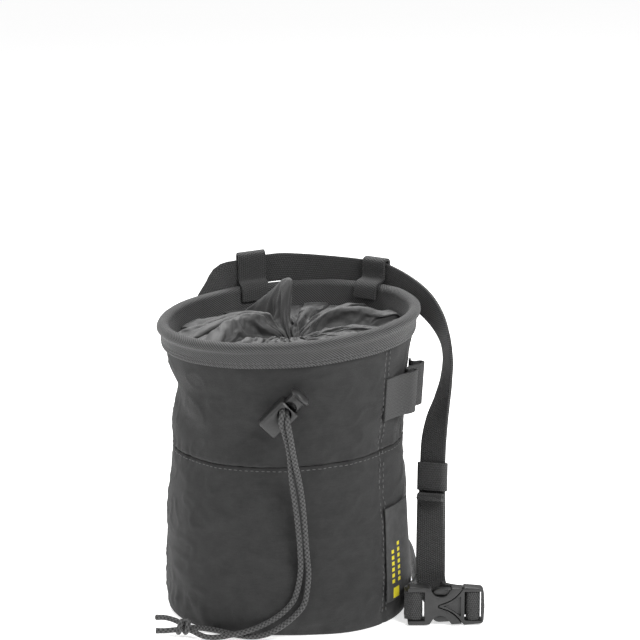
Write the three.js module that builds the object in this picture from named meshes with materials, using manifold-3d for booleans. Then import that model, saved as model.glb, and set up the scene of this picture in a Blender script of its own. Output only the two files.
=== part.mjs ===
// A climbing chalk bag that stands on its base, with its waist belt buckled round behind it.
// Millimetres, +z up, front towards -y; the origin is the centre of the flat base.
import * as THREE from "three";
import { mergeVertices } from "three/addons/utils/BufferGeometryUtils.js";
import Module from "manifold-3d";

const wasm = await Module();
wasm.setup();

// Driving sizes of the bag
const RIM_HEIGHT = 152.5; // middle of the rolled rim above the base
const RIM_ROLL = 3.1; // half the width of the roll
const RIM_BAND = 9.8; // how far the binding reaches down from the middle of the roll
const RIM_TILT = 0.065; // the rim rises towards the belt's side
const BODY_RADIUS = 62.9;
const RIM_OUT = 1.5; // how far the middle of the roll lies outside the body
const RIM_RADIUS = BODY_RADIUS + RIM_OUT;
const SEAM_HEIGHT = 90; // between the upper and the lower panel
const FLAT_RADIUS = 54.4; // the part of the base that lies flat
const CLOTH = 1.6; // pack cloth with its coating and lining
const BINDING = 1.3;
const COLLAR_CLOTH = 2.2; // thin nylon, doubled by its gathers
const GAP = 0.3; // between pieces that touch
const WALL_TURNS = 44; // sides of the round walls

// Driving sizes of the webbing, the buckle and the trim
const WEB_WIDTH = 15;
const WEB_THICK = 1.4;
const BELT_RISE = 9.3; // middle of the belt above the middle of the rim, behind the bag
const KEEPER_LENGTH = 14.5;
const KEEPER_WALL = 0.8;
const KEEPER_ROOM = 1.2; // between the belt's face and the keeper
const KEEPER_HEIGHT = 69.7;
const STOP_ROLL = 2.4; // radius of the rolled belt end
const BUCKLE_LENGTH = 39.2;
const BUCKLE_WIDTH = 20;
const BUCKLE_DEPTH = 7.4;
const BRUSH_WIDTH = 22;
const BRUSH_THICK = 1.1;
const BRUSH_HEIGHT = 116; // middle of the brush loop
const SIDE_SEAM = -37.5; // where the side seam runs, in degrees from +x
const TAB_LENGTH = 49;
const TAB_HEIGHT = 35.5; // middle of the side tab
const TAB_SPAN = 23.5; // how far the tab reaches round the wall, in degrees
const TAB_THICK = 0.8;
const TAB_LIFT = 1; // how far its free corner stands off

// Driving sizes of the cord and its lock
const CORD = 2.8;
const LOCK_X = -2.2; // the lock's cord hole
const LOCK_Z = 0.794 * RIM_HEIGHT;
const LOCK_LEAN = 45; // the barrel's axis above +x, in degrees
const BARREL_LENGTH = 16.8;
const BARREL_WIDTH = 11.4;
const BARREL_DEPTH = 9.6;
const BARREL_OFF = 2.05; // between the wall and the barrel's back
const HOLE_INSET = 4.1; // from the barrel's mouth to the middle of the cord hole
const STEM_RADIUS = 4.1;
const CAP_THICK = 3.4;
const PRESS = 3.5; // how far the plunger goes in
const EYELET_RADIUS = 5.2;

const degrees = THREE.MathUtils.degToRad;
const vec = (x, y, z) => new THREE.Vector3(x, y, z);

// One column of a table, read smoothly between its rows
function read(table, key, column, at) {
  const last = table.length - 1;
  if (at <= table[0][key]) return table[0][column];
  if (at >= table[last][key]) return table[last][column];
  let i = 0;
  while (table[i + 1][key] < at) i += 1;
  const [a, b] = [table[i], table[i + 1]];
  const before = table[Math.max(i - 1, 0)];
  const after = table[Math.min(i + 2, last)];
  const span = b[key] - a[key];
  const leave = (b[column] - before[column]) / Math.max(b[key] - before[key], 1e-9);
  const arrive = (after[column] - a[column]) / Math.max(after[key] - a[key], 1e-9);
  const t = (at - a[key]) / span;
  const [t2, t3] = [t * t, t * t * t];
  return (
    (2 * t3 - 3 * t2 + 1) * a[column] +
    (t3 - 2 * t2 + t) * span * leave +
    (3 * t2 - 2 * t3) * b[column] +
    (t3 - t2) * span * arrive
  );
}

// A mesh's geometry from shared points and faces, turned so that it faces out
class Skin {
  constructor() {
    this.points = [];
    this.faces = [];
  }

  add(point) {
    return this.points.push(point) - 1;
  }

  quad(a, b, c, d) {
    this.faces.push([a, b, c], [a, c, d]);
  }

  bridge(near, far) {
    const n = near.length;
    for (let i = 0; i < n; i += 1) {
      const j = (i + 1) % n;
      this.quad(near[i], near[j], far[j], far[i]);
    }
  }

  fan(ring, hub) {
    const n = ring.length;
    for (let i = 0; i < n; i += 1) this.faces.push([ring[i], ring[(i + 1) % n], hub]);
  }

  geometry() {
    let volume = 0;
    for (const [a, b, c] of this.faces) {
      const side = this.points[b].clone().cross(this.points[c]);
      volume += this.points[a].dot(side);
    }
    const faces = volume < 0 ? this.faces.map(([a, b, c]) => [a, c, b]) : this.faces;
    const flat = this.points.flatMap((p) => [p.x, p.y, p.z]);
    const shape = new THREE.BufferGeometry();
    shape.setAttribute("position", new THREE.Float32BufferAttribute(flat, 3));
    shape.setIndex(faces.flat());
    shape.computeVertexNormals();
    return shape;
  }
}

// Sections of equal count joined in a row; closed joins the last to the first
function loft(sections, closed = false) {
  const skin = new Skin();
  const rings = sections.map((ring) => ring.map((p) => skin.add(p)));
  for (let i = 1; i < rings.length; i += 1) skin.bridge(rings[i - 1], rings[i]);
  if (closed) {
    skin.bridge(rings[rings.length - 1], rings[0]);
    return skin.geometry();
  }
  const middle = (ring) => {
    const sum = vec(0, 0, 0);
    for (const p of ring) sum.add(p);
    return sum.divideScalar(ring.length);
  };
  skin.fan([...rings[0]].reverse(), skin.add(middle(sections[0])));
  skin.fan(rings[rings.length - 1], skin.add(middle(sections[sections.length - 1])));
  return skin.geometry();
}

// manifold-3d solids for the cut and joined pieces
function solid(geometry) {
  const bare = geometry.clone();
  for (const name of ["normal", "uv"]) bare.deleteAttribute(name);
  const merged = mergeVertices(bare, 1e-4);
  const mesh = new wasm.Mesh({
    numProp: 3,
    vertProperties: merged.attributes.position.array,
    triVerts: new Uint32Array(merged.index.array),
  });
  return new wasm.Manifold(mesh);
}

function fromSolid(made) {
  const mesh = made.getMesh();
  const shape = new THREE.BufferGeometry();
  shape.setAttribute("position", new THREE.BufferAttribute(mesh.vertProperties, 3));
  shape.setIndex(new THREE.BufferAttribute(mesh.triVerts, 1));
  shape.computeVertexNormals();
  return shape;
}

// The bag's wall: height and radius as shares of the rim's height and the body's radius.
// Shift moves a section sideways, as a share of the radius.
const WALL = [
  { height: 0.0, radius: 0.985, shift: -0.012 },
  { height: 0.01, radius: 0.996, shift: -0.014 },
  { height: 0.033, radius: 1.0, shift: -0.016 },
  { height: 0.079, radius: 1.002, shift: -0.016 },
  { height: 0.2, radius: 1.0, shift: -0.016 },
  { height: 0.33, radius: 0.985, shift: -0.016 },
  { height: 0.46, radius: 0.965, shift: -0.016 },
  { height: 0.59, radius: 0.947, shift: -0.004 },
  { height: 0.69, radius: 0.947, shift: 0.004 },
  { height: 0.77, radius: 0.954, shift: 0.008 },
  { height: 0.83, radius: 0.963, shift: 0.008 },
  { height: 0.89, radius: 0.986, shift: 0 },
  { height: 0.94, radius: 1.006, shift: 0 },
  { height: 0.98, radius: 1.02, shift: 0 },
];

// How far the barrel's back lies in front of the bag's axis
const BARREL_BACK = BODY_RADIUS * read(WALL, "height", "radius", LOCK_Z / RIM_HEIGHT) + BARREL_OFF;

// Dents and bulges of the cloth: where they lie, how far they spread, how they slant
// (degrees of turn per share of height) and their depth as a share of the body's radius.
const DENTS = [
  { turn: 180, height: 0.79, wide: 26, tall: 0.055, slant: 60, depth: 0.052 },
  { turn: 205, height: 0.72, wide: 16, tall: 0.05, slant: -150, depth: 0.028 },
  { turn: 222, height: 0.83, wide: 14, tall: 0.05, slant: 0, depth: 0.014 },
  { turn: 255, height: 0.36, wide: 8, tall: 0.3, slant: 10, depth: 0.014 },
  { turn: 268, height: 0.69, wide: 11, tall: 0.08, slant: 20, depth: 0.016 },
  { turn: 296, height: 0.78, wide: 12, tall: 0.05, slant: -90, depth: 0.012 },
  { turn: 330, height: 0.61, wide: 22, tall: 0.06, slant: 40, depth: 0.014 },
  { turn: 308, height: 0.2, wide: 14, tall: 0.08, slant: 90, depth: 0.012 },
  { turn: 238, height: 0.1, wide: 7, tall: 0.07, slant: 40, depth: 0.016 },
  { turn: 285, height: 0.06, wide: 7, tall: 0.06, slant: -30, depth: 0.014 },
  { turn: 270, height: -0.01, wide: 32, tall: 0.06, slant: 0, depth: 0.12 },
  { turn: 40, height: 0.7, wide: 24, tall: 0.09, slant: 60, depth: 0.024 },
  { turn: 100, height: 0.55, wide: 20, tall: 0.12, slant: -50, depth: 0.022 },
  { turn: 140, height: 0.3, wide: 16, tall: 0.15, slant: 30, depth: 0.016 },
  { turn: 75, height: 0.2, wide: 14, tall: 0.1, slant: 60, depth: 0.016 },
];

function dent(turn, height) {
  let sum = 0;
  for (const d of DENTS) {
    const rise = height - d.height;
    let away = (turn - d.turn - d.slant * rise) % 360;
    if (away > 180) away -= 360;
    if (away < -180) away += 360;
    sum += d.depth * Math.exp(-((away / d.wide) ** 2) - (rise / d.tall) ** 2);
  }
  return sum;
}

// Lifts a point with the rim's tilt, which fades out towards the base
function tilted(x, y, z) {
  return vec(x, y, z + (RIM_TILT * x * z) / RIM_HEIGHT);
}

// A point on the wall, `out` beyond the outer face
function onWall(turn, z, out = 0) {
  const share = z / RIM_HEIGHT;
  const edge = read(WALL, "height", "radius", share);
  const r = BODY_RADIUS * (edge - dent(turn, share)) + out;
  const shift = BODY_RADIUS * read(WALL, "height", "shift", share);
  const a = degrees(turn);
  return tilted(shift + r * Math.cos(a), r * Math.sin(a), z);
}

function turns(count) {
  return Array.from({ length: count }, (_, i) => ((i + 0.5) * 360) / count);
}

// A round panel of cloth between two heights, as a ring of closed sections
function panel(heights) {
  const sections = turns(WALL_TURNS).map((turn) => {
    const outside = heights.map((z) => onWall(turn, z));
    const inside = heights.map((z) => onWall(turn, z, -CLOTH));
    return [...outside, ...inside.reverse()];
  });
  return loft(sections, true);
}

const EDGE_SHARES = [0, 0.02, 0.06, 0.14, 0.32, 0.5, 0.68, 0.84, 1];
const UPPER_SHARES = [0, 0.17, 0.34, 0.48, 0.62, 0.8, 1];
const WALL_TOP = RIM_HEIGHT - BINDING - 0.6;

function lowerPanel() {
  const skirt = EDGE_SHARES.map((share) => share * (SEAM_HEIGHT - GAP));
  const sections = turns(WALL_TURNS).map((turn) => {
    const outside = skirt.map((z) => onWall(turn, z));
    const inside = skirt.slice(1).map((z) => onWall(turn, Math.max(z, CLOTH), -CLOTH));
    const a = degrees(turn);
    const foot = vec(FLAT_RADIUS * Math.cos(a), FLAT_RADIUS * Math.sin(a), CLOTH);
    return [...outside, ...inside.reverse(), foot];
  });
  return loft(sections, true);
}

function basePanel() {
  const r = FLAT_RADIUS - GAP;
  const profile = [
    new THREE.Vector2(0, 0),
    new THREE.Vector2(r - 0.4, 0),
    new THREE.Vector2(r, 0.4),
    new THREE.Vector2(r, CLOTH),
    new THREE.Vector2(0, CLOTH),
  ];
  return new THREE.LatheGeometry(profile, WALL_TURNS).rotateX(Math.PI / 2);
}

// The cord's eyelet goes through the upper panel behind the lock
function eyeletDrill(radius) {
  const drill = new THREE.CylinderGeometry(radius, radius, BARREL_BACK, 16);
  return drill.translate(LOCK_X, -BARREL_BACK, LOCK_Z);
}

function upperPanel() {
  const low = SEAM_HEIGHT;
  const heights = UPPER_SHARES.map((share) => low + share * (WALL_TOP - low));
  const cut = solid(panel(heights)).subtract(solid(eyeletDrill(1.25 * CORD)));
  return fromSolid(cut);
}

// The binding: a roll on top, a band outside the wall and a leg inside it
function rimBinding() {
  const wallAt = (drop) => {
    const share = (RIM_HEIGHT - drop) / RIM_HEIGHT;
    return BODY_RADIUS * read(WALL, "height", "radius", share);
  };
  const drops = [RIM_BAND, RIM_BAND / 2, 1.2];
  const spread = [BINDING + GAP, BINDING + GAP, RIM_RADIUS + RIM_ROLL - wallAt(1.2)];
  const outside = drops.map((d, i) => [wallAt(d) + spread[i], -d]);
  const crest = [25, 60, 95, 130, 165].map((angle) => [
    RIM_RADIUS + RIM_ROLL * Math.cos(degrees(angle)),
    0.3 + RIM_ROLL * Math.sin(degrees(angle)),
  ]);
  const leg = CLOTH + GAP + BINDING;
  const inside = [...drops].reverse().map((d) => [wallAt(d) - leg, -d]);
  const slotLeft = drops.slice(0, 2).map((d) => [wallAt(d) - CLOTH - GAP, -d]);
  const slotTop = RIM_HEIGHT - WALL_TOP - GAP;
  slotLeft.push([wallAt(slotTop) - CLOTH - GAP, -slotTop]);
  const slotRight = [[wallAt(slotTop) + GAP, -slotTop]];
  for (const d of drops.slice(0, 2).reverse()) slotRight.push([wallAt(d) + GAP, -d]);
  const outline = [...outside, ...crest, ...inside, ...slotLeft, ...slotRight];
  const sections = turns(WALL_TURNS).map((turn) => {
    const a = degrees(turn);
    return outline.map(([r, z]) => {
      const limp = BODY_RADIUS * dent(turn, (RIM_HEIGHT + Math.min(z, 0)) / RIM_HEIGHT);
      return tilted((r - limp) * Math.cos(a), (r - limp) * Math.sin(a), RIM_HEIGHT + z);
    });
  });
  return loft(sections, true);
}

// The gathered collar: its folds run from the drawn mouth to the rim. Start, peak and
// end are shares of the collar's radius, rise is a share of the rim's radius, and
// swirl is how far a fold turns on its way in, in degrees.
const FOLDS = [
  { turn: 196, wide: 11, start: 0.14, peak: 0.5, end: 0.98, rise: 0.15, swirl: -22 },
  { turn: 168, wide: 10, start: 0.2, peak: 0.6, end: 0.98, rise: 0.16, swirl: -16 },
  { turn: 136, wide: 12, start: 0.16, peak: 0.55, end: 0.97, rise: 0.16, swirl: -10 },
  { turn: 92, wide: 26, start: 0.04, peak: 0.3, end: 0.66, rise: 0.36, swirl: 0 },
  { turn: 104, wide: 9, start: 0.3, peak: 0.62, end: 0.98, rise: 0.12, swirl: 0 },
  { turn: 60, wide: 10, start: 0.18, peak: 0.55, end: 0.97, rise: 0.16, swirl: 8 },
  { turn: 32, wide: 11, start: 0.14, peak: 0.5, end: 0.97, rise: 0.16, swirl: 16 },
  { turn: 2, wide: 10, start: 0.16, peak: 0.48, end: 0.95, rise: 0.11, swirl: 12 },
  { turn: -30, wide: 12, start: 0.08, peak: 0.34, end: 0.9, rise: 0.11, swirl: 8 },
  { turn: -64, wide: 11, start: 0.08, peak: 0.36, end: 0.92, rise: 0.1, swirl: 0 },
  { turn: -98, wide: 12, start: 0.08, peak: 0.36, end: 0.94, rise: 0.1, swirl: -6 },
  { turn: -132, wide: 13, start: 0.12, peak: 0.5, end: 0.96, rise: 0.12, swirl: -12 },
];
const COLLAR_LEVEL = [
  { share: 0, level: -0.16 },
  { share: 0.12, level: -0.15 },
  { share: 0.4, level: -0.115 },
  { share: 0.75, level: -0.11 },
  { share: 1, level: -0.14 },
];
const COLLAR_SHARES = [0.08, 0.19, 0.31, 0.44, 0.58, 0.73, 0.88, 1];
const COLLAR_TURNS = 54;

function collarTop(turn, share) {
  let rise = RIM_RADIUS * read(COLLAR_LEVEL, "share", "level", share);
  for (const f of FOLDS) {
    let away = (turn - f.turn - f.swirl * (1 - share)) % 360;
    if (away > 180) away -= 360;
    if (away < -180) away += 360;
    const reach = share < f.peak ? f.peak - f.start : f.end - f.peak;
    const along = Math.max(0, 1 - ((share - f.peak) / reach) ** 2);
    rise += RIM_RADIUS * f.rise * along * Math.exp(-((away / f.wide) ** 2));
  }
  return RIM_HEIGHT + rise;
}

function collarRadius() {
  const share = (RIM_HEIGHT - RIM_BAND) / RIM_HEIGHT;
  const wall = BODY_RADIUS * read(WALL, "height", "radius", share);
  return wall - CLOTH - GAP - BINDING - 1.6 * GAP;
}

function collar() {
  const radius = collarRadius();
  const skin = new Skin();
  const rings = (sink) =>
    COLLAR_SHARES.map((share) =>
      turns(COLLAR_TURNS).map((turn) => {
        const a = degrees(turn);
        const limp = BODY_RADIUS * dent(turn, 0.94) * share;
        const r = radius * share - limp;
        const z = collarTop(turn, share) - sink;
        return skin.add(tilted(r * Math.cos(a), r * Math.sin(a), z));
      }),
    );
  const over = rings(0);
  const under = rings(COLLAR_CLOTH);
  for (let i = 1; i < over.length; i += 1) {
    skin.bridge(over[i - 1], over[i]);
    skin.bridge(under[i], under[i - 1]);
  }
  skin.bridge(over[over.length - 1], under[under.length - 1]);
  const middle = collarTop(0, 0);
  skin.fan([...over[0]].reverse(), skin.add(vec(0, 0, middle)));
  skin.fan(under[0], skin.add(vec(0, 0, middle - COLLAR_CLOTH)));
  return skin.geometry();
}

// A flat strap from frames: a middle point, a unit vector across, and its normal
function strap(frames, width, thick) {
  const sections = frames.map(({ at, across, face }) => {
    const side = across.clone().multiplyScalar(width / 2);
    const skin = face.clone().multiplyScalar(thick / 2);
    return [
      at.clone().add(side).add(skin),
      at.clone().sub(side).add(skin),
      at.clone().sub(side).sub(skin),
      at.clone().add(side).sub(skin),
    ];
  });
  return loft(sections);
}

// Frames along a smooth curve through stations that hold a point and an across vector
function strapFrames(stations, step) {
  const path = new THREE.CatmullRomCurve3(stations.map((s) => s.at));
  const lean = new THREE.CatmullRomCurve3(stations.map((s) => s.across));
  const count = Math.max(2, Math.round(path.getLength() / step));
  const frames = [];
  for (let i = 0; i <= count; i += 1) {
    const t = path.getUtoTmapping(i / count);
    const along = path.getTangent(t);
    const across = lean.getPoint(t);
    across.addScaledVector(along, -across.dot(along)).normalize();
    frames.push({ at: path.getPoint(t), across, face: along.clone().cross(across) });
  }
  return frames;
}

// The belt loops hold the belt against the rim, behind the bag
const BELT_RADIUS = RIM_RADIUS + RIM_ROLL + 2 * GAP + WEB_THICK / 2;
const BELT_TOP = RIM_HEIGHT + BELT_RISE + WEB_WIDTH / 2;
const LOOPS = { belt_loop_left: 107, belt_loop_right: 47.5 };

function beltLoop(turn) {
  const a = degrees(turn);
  const half = WEB_THICK / 2;
  const sag = WEB_WIDTH ** 2 / (8 * RIM_RADIUS); // a flat strap inside a round rim
  const lift = RIM_TILT * RIM_RADIUS * Math.cos(a);
  const legShare = (RIM_HEIGHT - RIM_BAND / 2) / RIM_HEIGHT;
  const leg = BODY_RADIUS * read(WALL, "height", "radius", legShare) - CLOTH - BINDING;
  const inner = BELT_RADIUS - half - 1.6 * GAP - half - sag;
  const outer = BELT_RADIUS + half + 1.6 * GAP + half;
  const overRoll = (angle) => {
    const reach = RIM_ROLL + 1.5 * GAP + half;
    const r = RIM_RADIUS - sag + reach * Math.cos(degrees(angle));
    return [r, RIM_HEIGHT + 0.3 + reach * Math.sin(degrees(angle)) + lift];
  };
  const drape = (z, out) => {
    const p = onWall(turn, z, out);
    return [Math.hypot(p.x, p.y), z + (RIM_TILT * p.x * z) / RIM_HEIGHT];
  };
  const band = BINDING + 2 * GAP + half;
  const rows = [
    [leg - 2.5 * GAP - half - sag, RIM_HEIGHT - RIM_BAND / 2 + 0.5 + lift],
    overRoll(180),
    overRoll(150),
    overRoll(120),
    overRoll(88),
    [inner - 0.6, overRoll(88)[1] + 0.8],
    [inner, overRoll(88)[1] + 3],
    [inner, BELT_TOP - 1],
    [inner + 0.2, BELT_TOP + GAP + half],
    [BELT_RADIUS, BELT_TOP + 3 * GAP + half + 0.3],
    [outer - 0.2, BELT_TOP + GAP + half],
    [outer, BELT_TOP - 1.5],
    [outer, BELT_TOP - WEB_WIDTH - 0.5],
    [RIM_RADIUS + RIM_ROLL + GAP + half + 0.6, RIM_HEIGHT - 2.5 + Math.min(lift, 0)],
    drape(RIM_HEIGHT - RIM_BAND * 0.75, band + 0.2),
    drape(RIM_HEIGHT - RIM_BAND - 1.5, band - 0.2),
    drape(RIM_HEIGHT - RIM_BAND - 7, GAP + half),
    drape(RIM_HEIGHT - RIM_BAND - 14, GAP + half),
  ];
  const across = vec(-Math.sin(a), Math.cos(a), -RIM_TILT * Math.sin(a)).normalize();
  const frames = rows.map(([r, z], i) => {
    const back = rows[Math.max(i - 1, 0)];
    const next = rows[Math.min(i + 1, rows.length - 1)];
    const [dr, dz] = [next[0] - back[0], next[1] - back[1]];
    const length = Math.hypot(dr, dz);
    const face = vec((dz / length) * Math.cos(a), (dz / length) * Math.sin(a), -dr / length);
    return { at: vec(r * Math.cos(a), r * Math.sin(a), z), across, face };
  });
  return strap(frames, WEB_WIDTH, WEB_THICK);
}

// The buckle lies on its long edge by the bag's right foot; its own x runs along it
const BUCKLE_X = 0.96 * BODY_RADIUS;
const BUCKLE_Y = -0.6025 * BODY_RADIUS;
const BUCKLE_Z = BUCKLE_WIDTH / 2 + 0.2;
const BAR_DEPTH = 2;
const FEMALE_BAR = { from: 2.4, to: 5.6 };
const FEMALE_SLOT = 8.6;
const MALE_SLOT = 28.9;
const MALE_BAR = { from: 31.7, to: 35.0 };
const END_SLOT = BUCKLE_LENGTH - 1.6;

const ROUND = WEB_THICK / 2 + 2 * GAP; // strap's middle from the face it goes round

// Where the strap's middle runs round a bar, as offsets from the buckle's own origin
function roundBar(bar, from, to, steps) {
  const middle = (bar.from + bar.to) / 2;
  const [rx, ry] = [(bar.to - bar.from) / 2 + ROUND, BAR_DEPTH / 2 + ROUND];
  const square = (part) => Math.sign(part) * Math.abs(part) ** 0.8;
  return Array.from({ length: steps + 1 }, (_, i) => {
    const a = degrees(from + ((to - from) * i) / steps);
    const [x, y] = [rx * square(Math.cos(a)), ry * square(Math.sin(a))];
    return vec(BUCKLE_X + middle + x, BUCKLE_Y + y, BUCKLE_Z);
  });
}

const UP = vec(0, 0, 1);
const DOWN = vec(0, 0, -1);
const place = (x, y, z) => vec(x * RIM_RADIUS, y * RIM_RADIUS, z * RIM_HEIGHT);
const turned = (turn, r, z) => vec(r * Math.cos(degrees(turn)), r * Math.sin(degrees(turn)), z);

const TAB_OUT = 2 * GAP + TAB_LIFT + TAB_THICK; // the tab's free corner, off the wall

// The belt's hidden stretch, from the foot of the bag round behind it and up: places are
// shares of the rim's radius and height, and the strap's one edge points to ux, uy, uz.
const BELT_HIDDEN = [
  { x: 1.03, y: 0.34, z: 0.053, ux: 0, uy: 0, uz: -1 },
  { x: 1.0, y: 0.76, z: 0.052, ux: 0, uy: 0, uz: -1 },
  { x: 0.86, y: 1.26, z: 0.052, ux: 0, uy: 0, uz: -1 },
  { x: 0.54, y: 1.7, z: 0.052, ux: 0, uy: 0, uz: -1 },
  { x: 0.08, y: 1.92, z: 0.052, ux: 0, uy: 0, uz: -1 },
  { x: -0.38, y: 1.86, z: 0.054, ux: -0.1, uy: -0.1, uz: -1 },
  { x: -0.64, y: 1.64, z: 0.075, ux: -0.4, uy: -0.4, uz: -0.85 },
  { x: -0.73, y: 1.4, z: 0.16, ux: -0.75, uy: -0.4, uz: -0.5 },
  { x: -0.75, y: 1.22, z: 0.32, ux: -0.95, uy: -0.3, uz: -0.12 },
  { x: -0.74, y: 1.1, z: 0.55, ux: -0.97, uy: -0.22, uz: 0 },
  { x: -0.72, y: 1.02, z: 0.78, ux: -0.95, uy: -0.2, uz: 0.2 },
  { x: -0.68, y: 0.97, z: 0.92, ux: -0.85, uy: 0.05, uz: 0.5 },
  { x: -0.59, y: 0.99, z: 0.99, ux: -0.55, uy: 0.05, uz: 0.8 },
];

// The stretch against the back of the rim, from loop to loop
const BELT_BEHIND = [
  { turn: 118, out: 2.8, rise: -3.6 },
  { turn: 113, out: 0.1, rise: -1.9 },
  { turn: 108, out: 0, rise: -0.9 },
  { turn: 103, out: 0, rise: -0.3 },
  { turn: 94, out: 0, rise: 0.7 },
  { turn: 86, out: 0, rise: 0.5 },
  { turn: 72, out: 0, rise: 0 },
  { turn: 58, out: 0, rise: 0 },
  { turn: 52, out: 0, rise: 0 },
  { turn: 47, out: 0, rise: 0 },
  { turn: 42, out: 0, rise: 0 },
];

// The belt's stretch that hangs free to the right of the bag
const BELT_SHOWN = [
  { x: 0.972, y: 0.56, z: 1.033, ux: 0.12, uy: -0.12, uz: 1 },
  { x: 1.106, y: 0.427, z: 0.998, ux: 0.3, uy: -0.42, uz: 0.86 },
  { x: 1.205, y: 0.31, z: 0.949, ux: 0.33, uy: -0.75, uz: 0.58 },
  { x: 1.258, y: 0.217, z: 0.896, ux: 0.25, uy: -0.93, uz: 0.25 },
  { x: 1.276, y: 0.148, z: 0.835, ux: 0.22, uy: -0.97, uz: 0.05 },
  { x: 1.262, y: 0.093, z: 0.77, ux: 0.25, uy: -0.97, uz: 0 },
  { x: 1.226, y: 0.039, z: 0.701, ux: 0.42, uy: -0.91, uz: 0 },
  { x: 1.186, y: -0.005, z: 0.637, ux: 0.66, uy: -0.75, uz: 0 },
  { x: 1.16, y: -0.06, z: 0.57, ux: 0.78, uy: -0.63, uz: 0 },
  { x: 1.15, y: -0.12, z: 0.5, ux: 0.79, uy: -0.61, uz: 0 },
  { x: 1.143, y: -0.19, z: 0.378, ux: 0.86, uy: -0.51, uz: 0 },
  { x: 1.138, y: -0.26, z: 0.245, ux: 0.94, uy: -0.34, uz: 0 },
  { x: 1.134, y: -0.295, z: 0.165, ux: 0.98, uy: -0.2, uz: 0 },
];

function stationsOf(table) {
  return table.map((row) => ({
    at: place(row.x, row.y, row.z),
    across: vec(row.ux, row.uy, row.uz).normalize(),
  }));
}

const LAYER = WEB_THICK + GAP; // two layers of the strap lie this far apart
const MALE_BACK = BUCKLE_Y + BUCKLE_DEPTH / 2 + 2 * LAYER; // the strap behind the buckle
const FEMALE_BACK = BUCKLE_Y + BAR_DEPTH / 2 + ROUND;

function beltFrames() {
  const upright = (x, y, z = BUCKLE_Z) => ({ at: vec(x, y, z), across: UP });
  const footRadius = BODY_RADIUS + TAB_OUT + 2 * GAP + WEB_THICK / 2;
  const foot = [
    { at: vec(BUCKLE_X + FEMALE_BAR.from - 0.5, FEMALE_BACK + 0.5, BUCKLE_Z), across: DOWN },
    { at: vec(BUCKLE_X - 0.6, FEMALE_BACK + 3.6, BUCKLE_Z), across: DOWN },
    { at: turned(-25, footRadius, BUCKLE_Z - 1), across: DOWN },
    { at: turned(-10, footRadius, 0.055 * RIM_HEIGHT), across: DOWN },
    { at: turned(4, footRadius, 0.053 * RIM_HEIGHT), across: DOWN },
  ];
  const behind = BELT_BEHIND.map(({ turn, out, rise }) => ({
    at: turned(turn, BELT_RADIUS + out, RIM_HEIGHT + BELT_RISE + rise),
    across: UP,
  }));
  const reach = BUCKLE_X + MALE_BAR.from;
  const curl = [
    { at: place(1.137, -0.3, 0.108), across: vec(0.94, 0, 0.34) },
    { at: place(1.165, -0.335, 0.074), across: vec(0.66, 0, 0.75) },
    { at: vec(reach - 13.5, MALE_BACK + 7.4, BUCKLE_Z - 0.6), across: vec(0.25, 0, 0.97) },
    upright(reach - 7.5, MALE_BACK + 2.6, BUCKLE_Z - 0.2),
    upright(reach - 1, MALE_BACK + 0.1),
    upright(reach + 4, MALE_BACK - 0.6),
  ];
  const main = strapFrames(
    [...foot, ...stationsOf(BELT_HIDDEN), ...behind, ...stationsOf(BELT_SHOWN), ...curl],
    8.5,
  );
  const flat = (points, across) =>
    points.map((at, i) => {
      const along = points[Math.min(i + 1, points.length - 1)].clone();
      along.sub(points[Math.max(i - 1, 0)]).normalize();
      return { at, across, face: along.cross(across) };
    });
  const start = vec(BUCKLE_X - 1.4, BUCKLE_Y + 0.2, BUCKLE_Z);
  const femaleTurn = flat([start, ...roundBar(FEMALE_BAR, -140, 84, 9)], DOWN);
  const maleTurn = flat(roundBar(MALE_BAR, 66, -240, 12), UP);
  return { main, femaleTurn, maleTurn };
}

const BELT = beltFrames();

const hanging = BELT.main.slice(BELT.main.findLastIndex(({ at }) => at.z > RIM_HEIGHT));

// The belt's frame at a height of its hanging stretch
function beltAt(height) {
  const i = hanging.findIndex(({ at }) => at.z < height);
  const [high, low] = [hanging[i - 1], hanging[i]];
  const t = (high.at.z - height) / (high.at.z - low.at.z);
  const blend = (key) => high[key].clone().lerp(low[key], t);
  return { at: blend("at"), across: blend("across").normalize(), face: blend("face").normalize() };
}

// The frames between the keeper and the buckle, where the belt is doubled by its tail
const TAIL_TOP = KEEPER_HEIGHT - KEEPER_LENGTH / 2 - STOP_ROLL - 2 * GAP;
const doubled = [beltAt(TAIL_TOP), ...hanging.filter(({ at }) => at.z < TAIL_TOP - 2)];

function tailFrames() {
  return [...doubled].reverse().map(({ at, across, face }) => ({
    at: at.clone().addScaledVector(face, LAYER),
    across,
    face: face.clone().negate(),
  }));
}

function waistBelt() {
  const frames = [...BELT.femaleTurn, ...BELT.main, ...BELT.maleTurn, ...tailFrames()];
  return strap(frames, WEB_WIDTH, WEB_THICK);
}

// The keeper: a sleeve of webbing round the belt
function beltKeeper() {
  const { at, across, face } = beltAt(KEEPER_HEIGHT);
  const down = face.clone().cross(across);
  const ring = (grow, shift) => {
    const w = WEB_WIDTH / 2 + 1.5 * GAP + grow;
    const t = WEB_THICK / 2 + KEEPER_ROOM + grow;
    const round = Math.min(1, t);
    const corners = [
      [w, t - round],
      [w - round, t],
      [0, t + 0.15],
      [round - w, t],
      [-w, t - round],
      [-w, round - t],
      [round - w, -t],
      [0, -t - 0.15],
      [w - round, -t],
      [w, round - t],
    ];
    return corners.map(([x, y]) =>
      at
        .clone()
        .addScaledVector(across, x)
        .addScaledVector(face, y)
        .addScaledVector(down, shift),
    );
  };
  const half = KEEPER_LENGTH / 2;
  const rings = [
    ring(KEEPER_WALL - 0.3, -half),
    ring(KEEPER_WALL, 0.4 - half),
    ring(KEEPER_WALL, half - 0.4),
    ring(KEEPER_WALL - 0.3, half),
    ring(0, half),
    ring(0, -half),
  ];
  return loft(rings, true);
}

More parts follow.
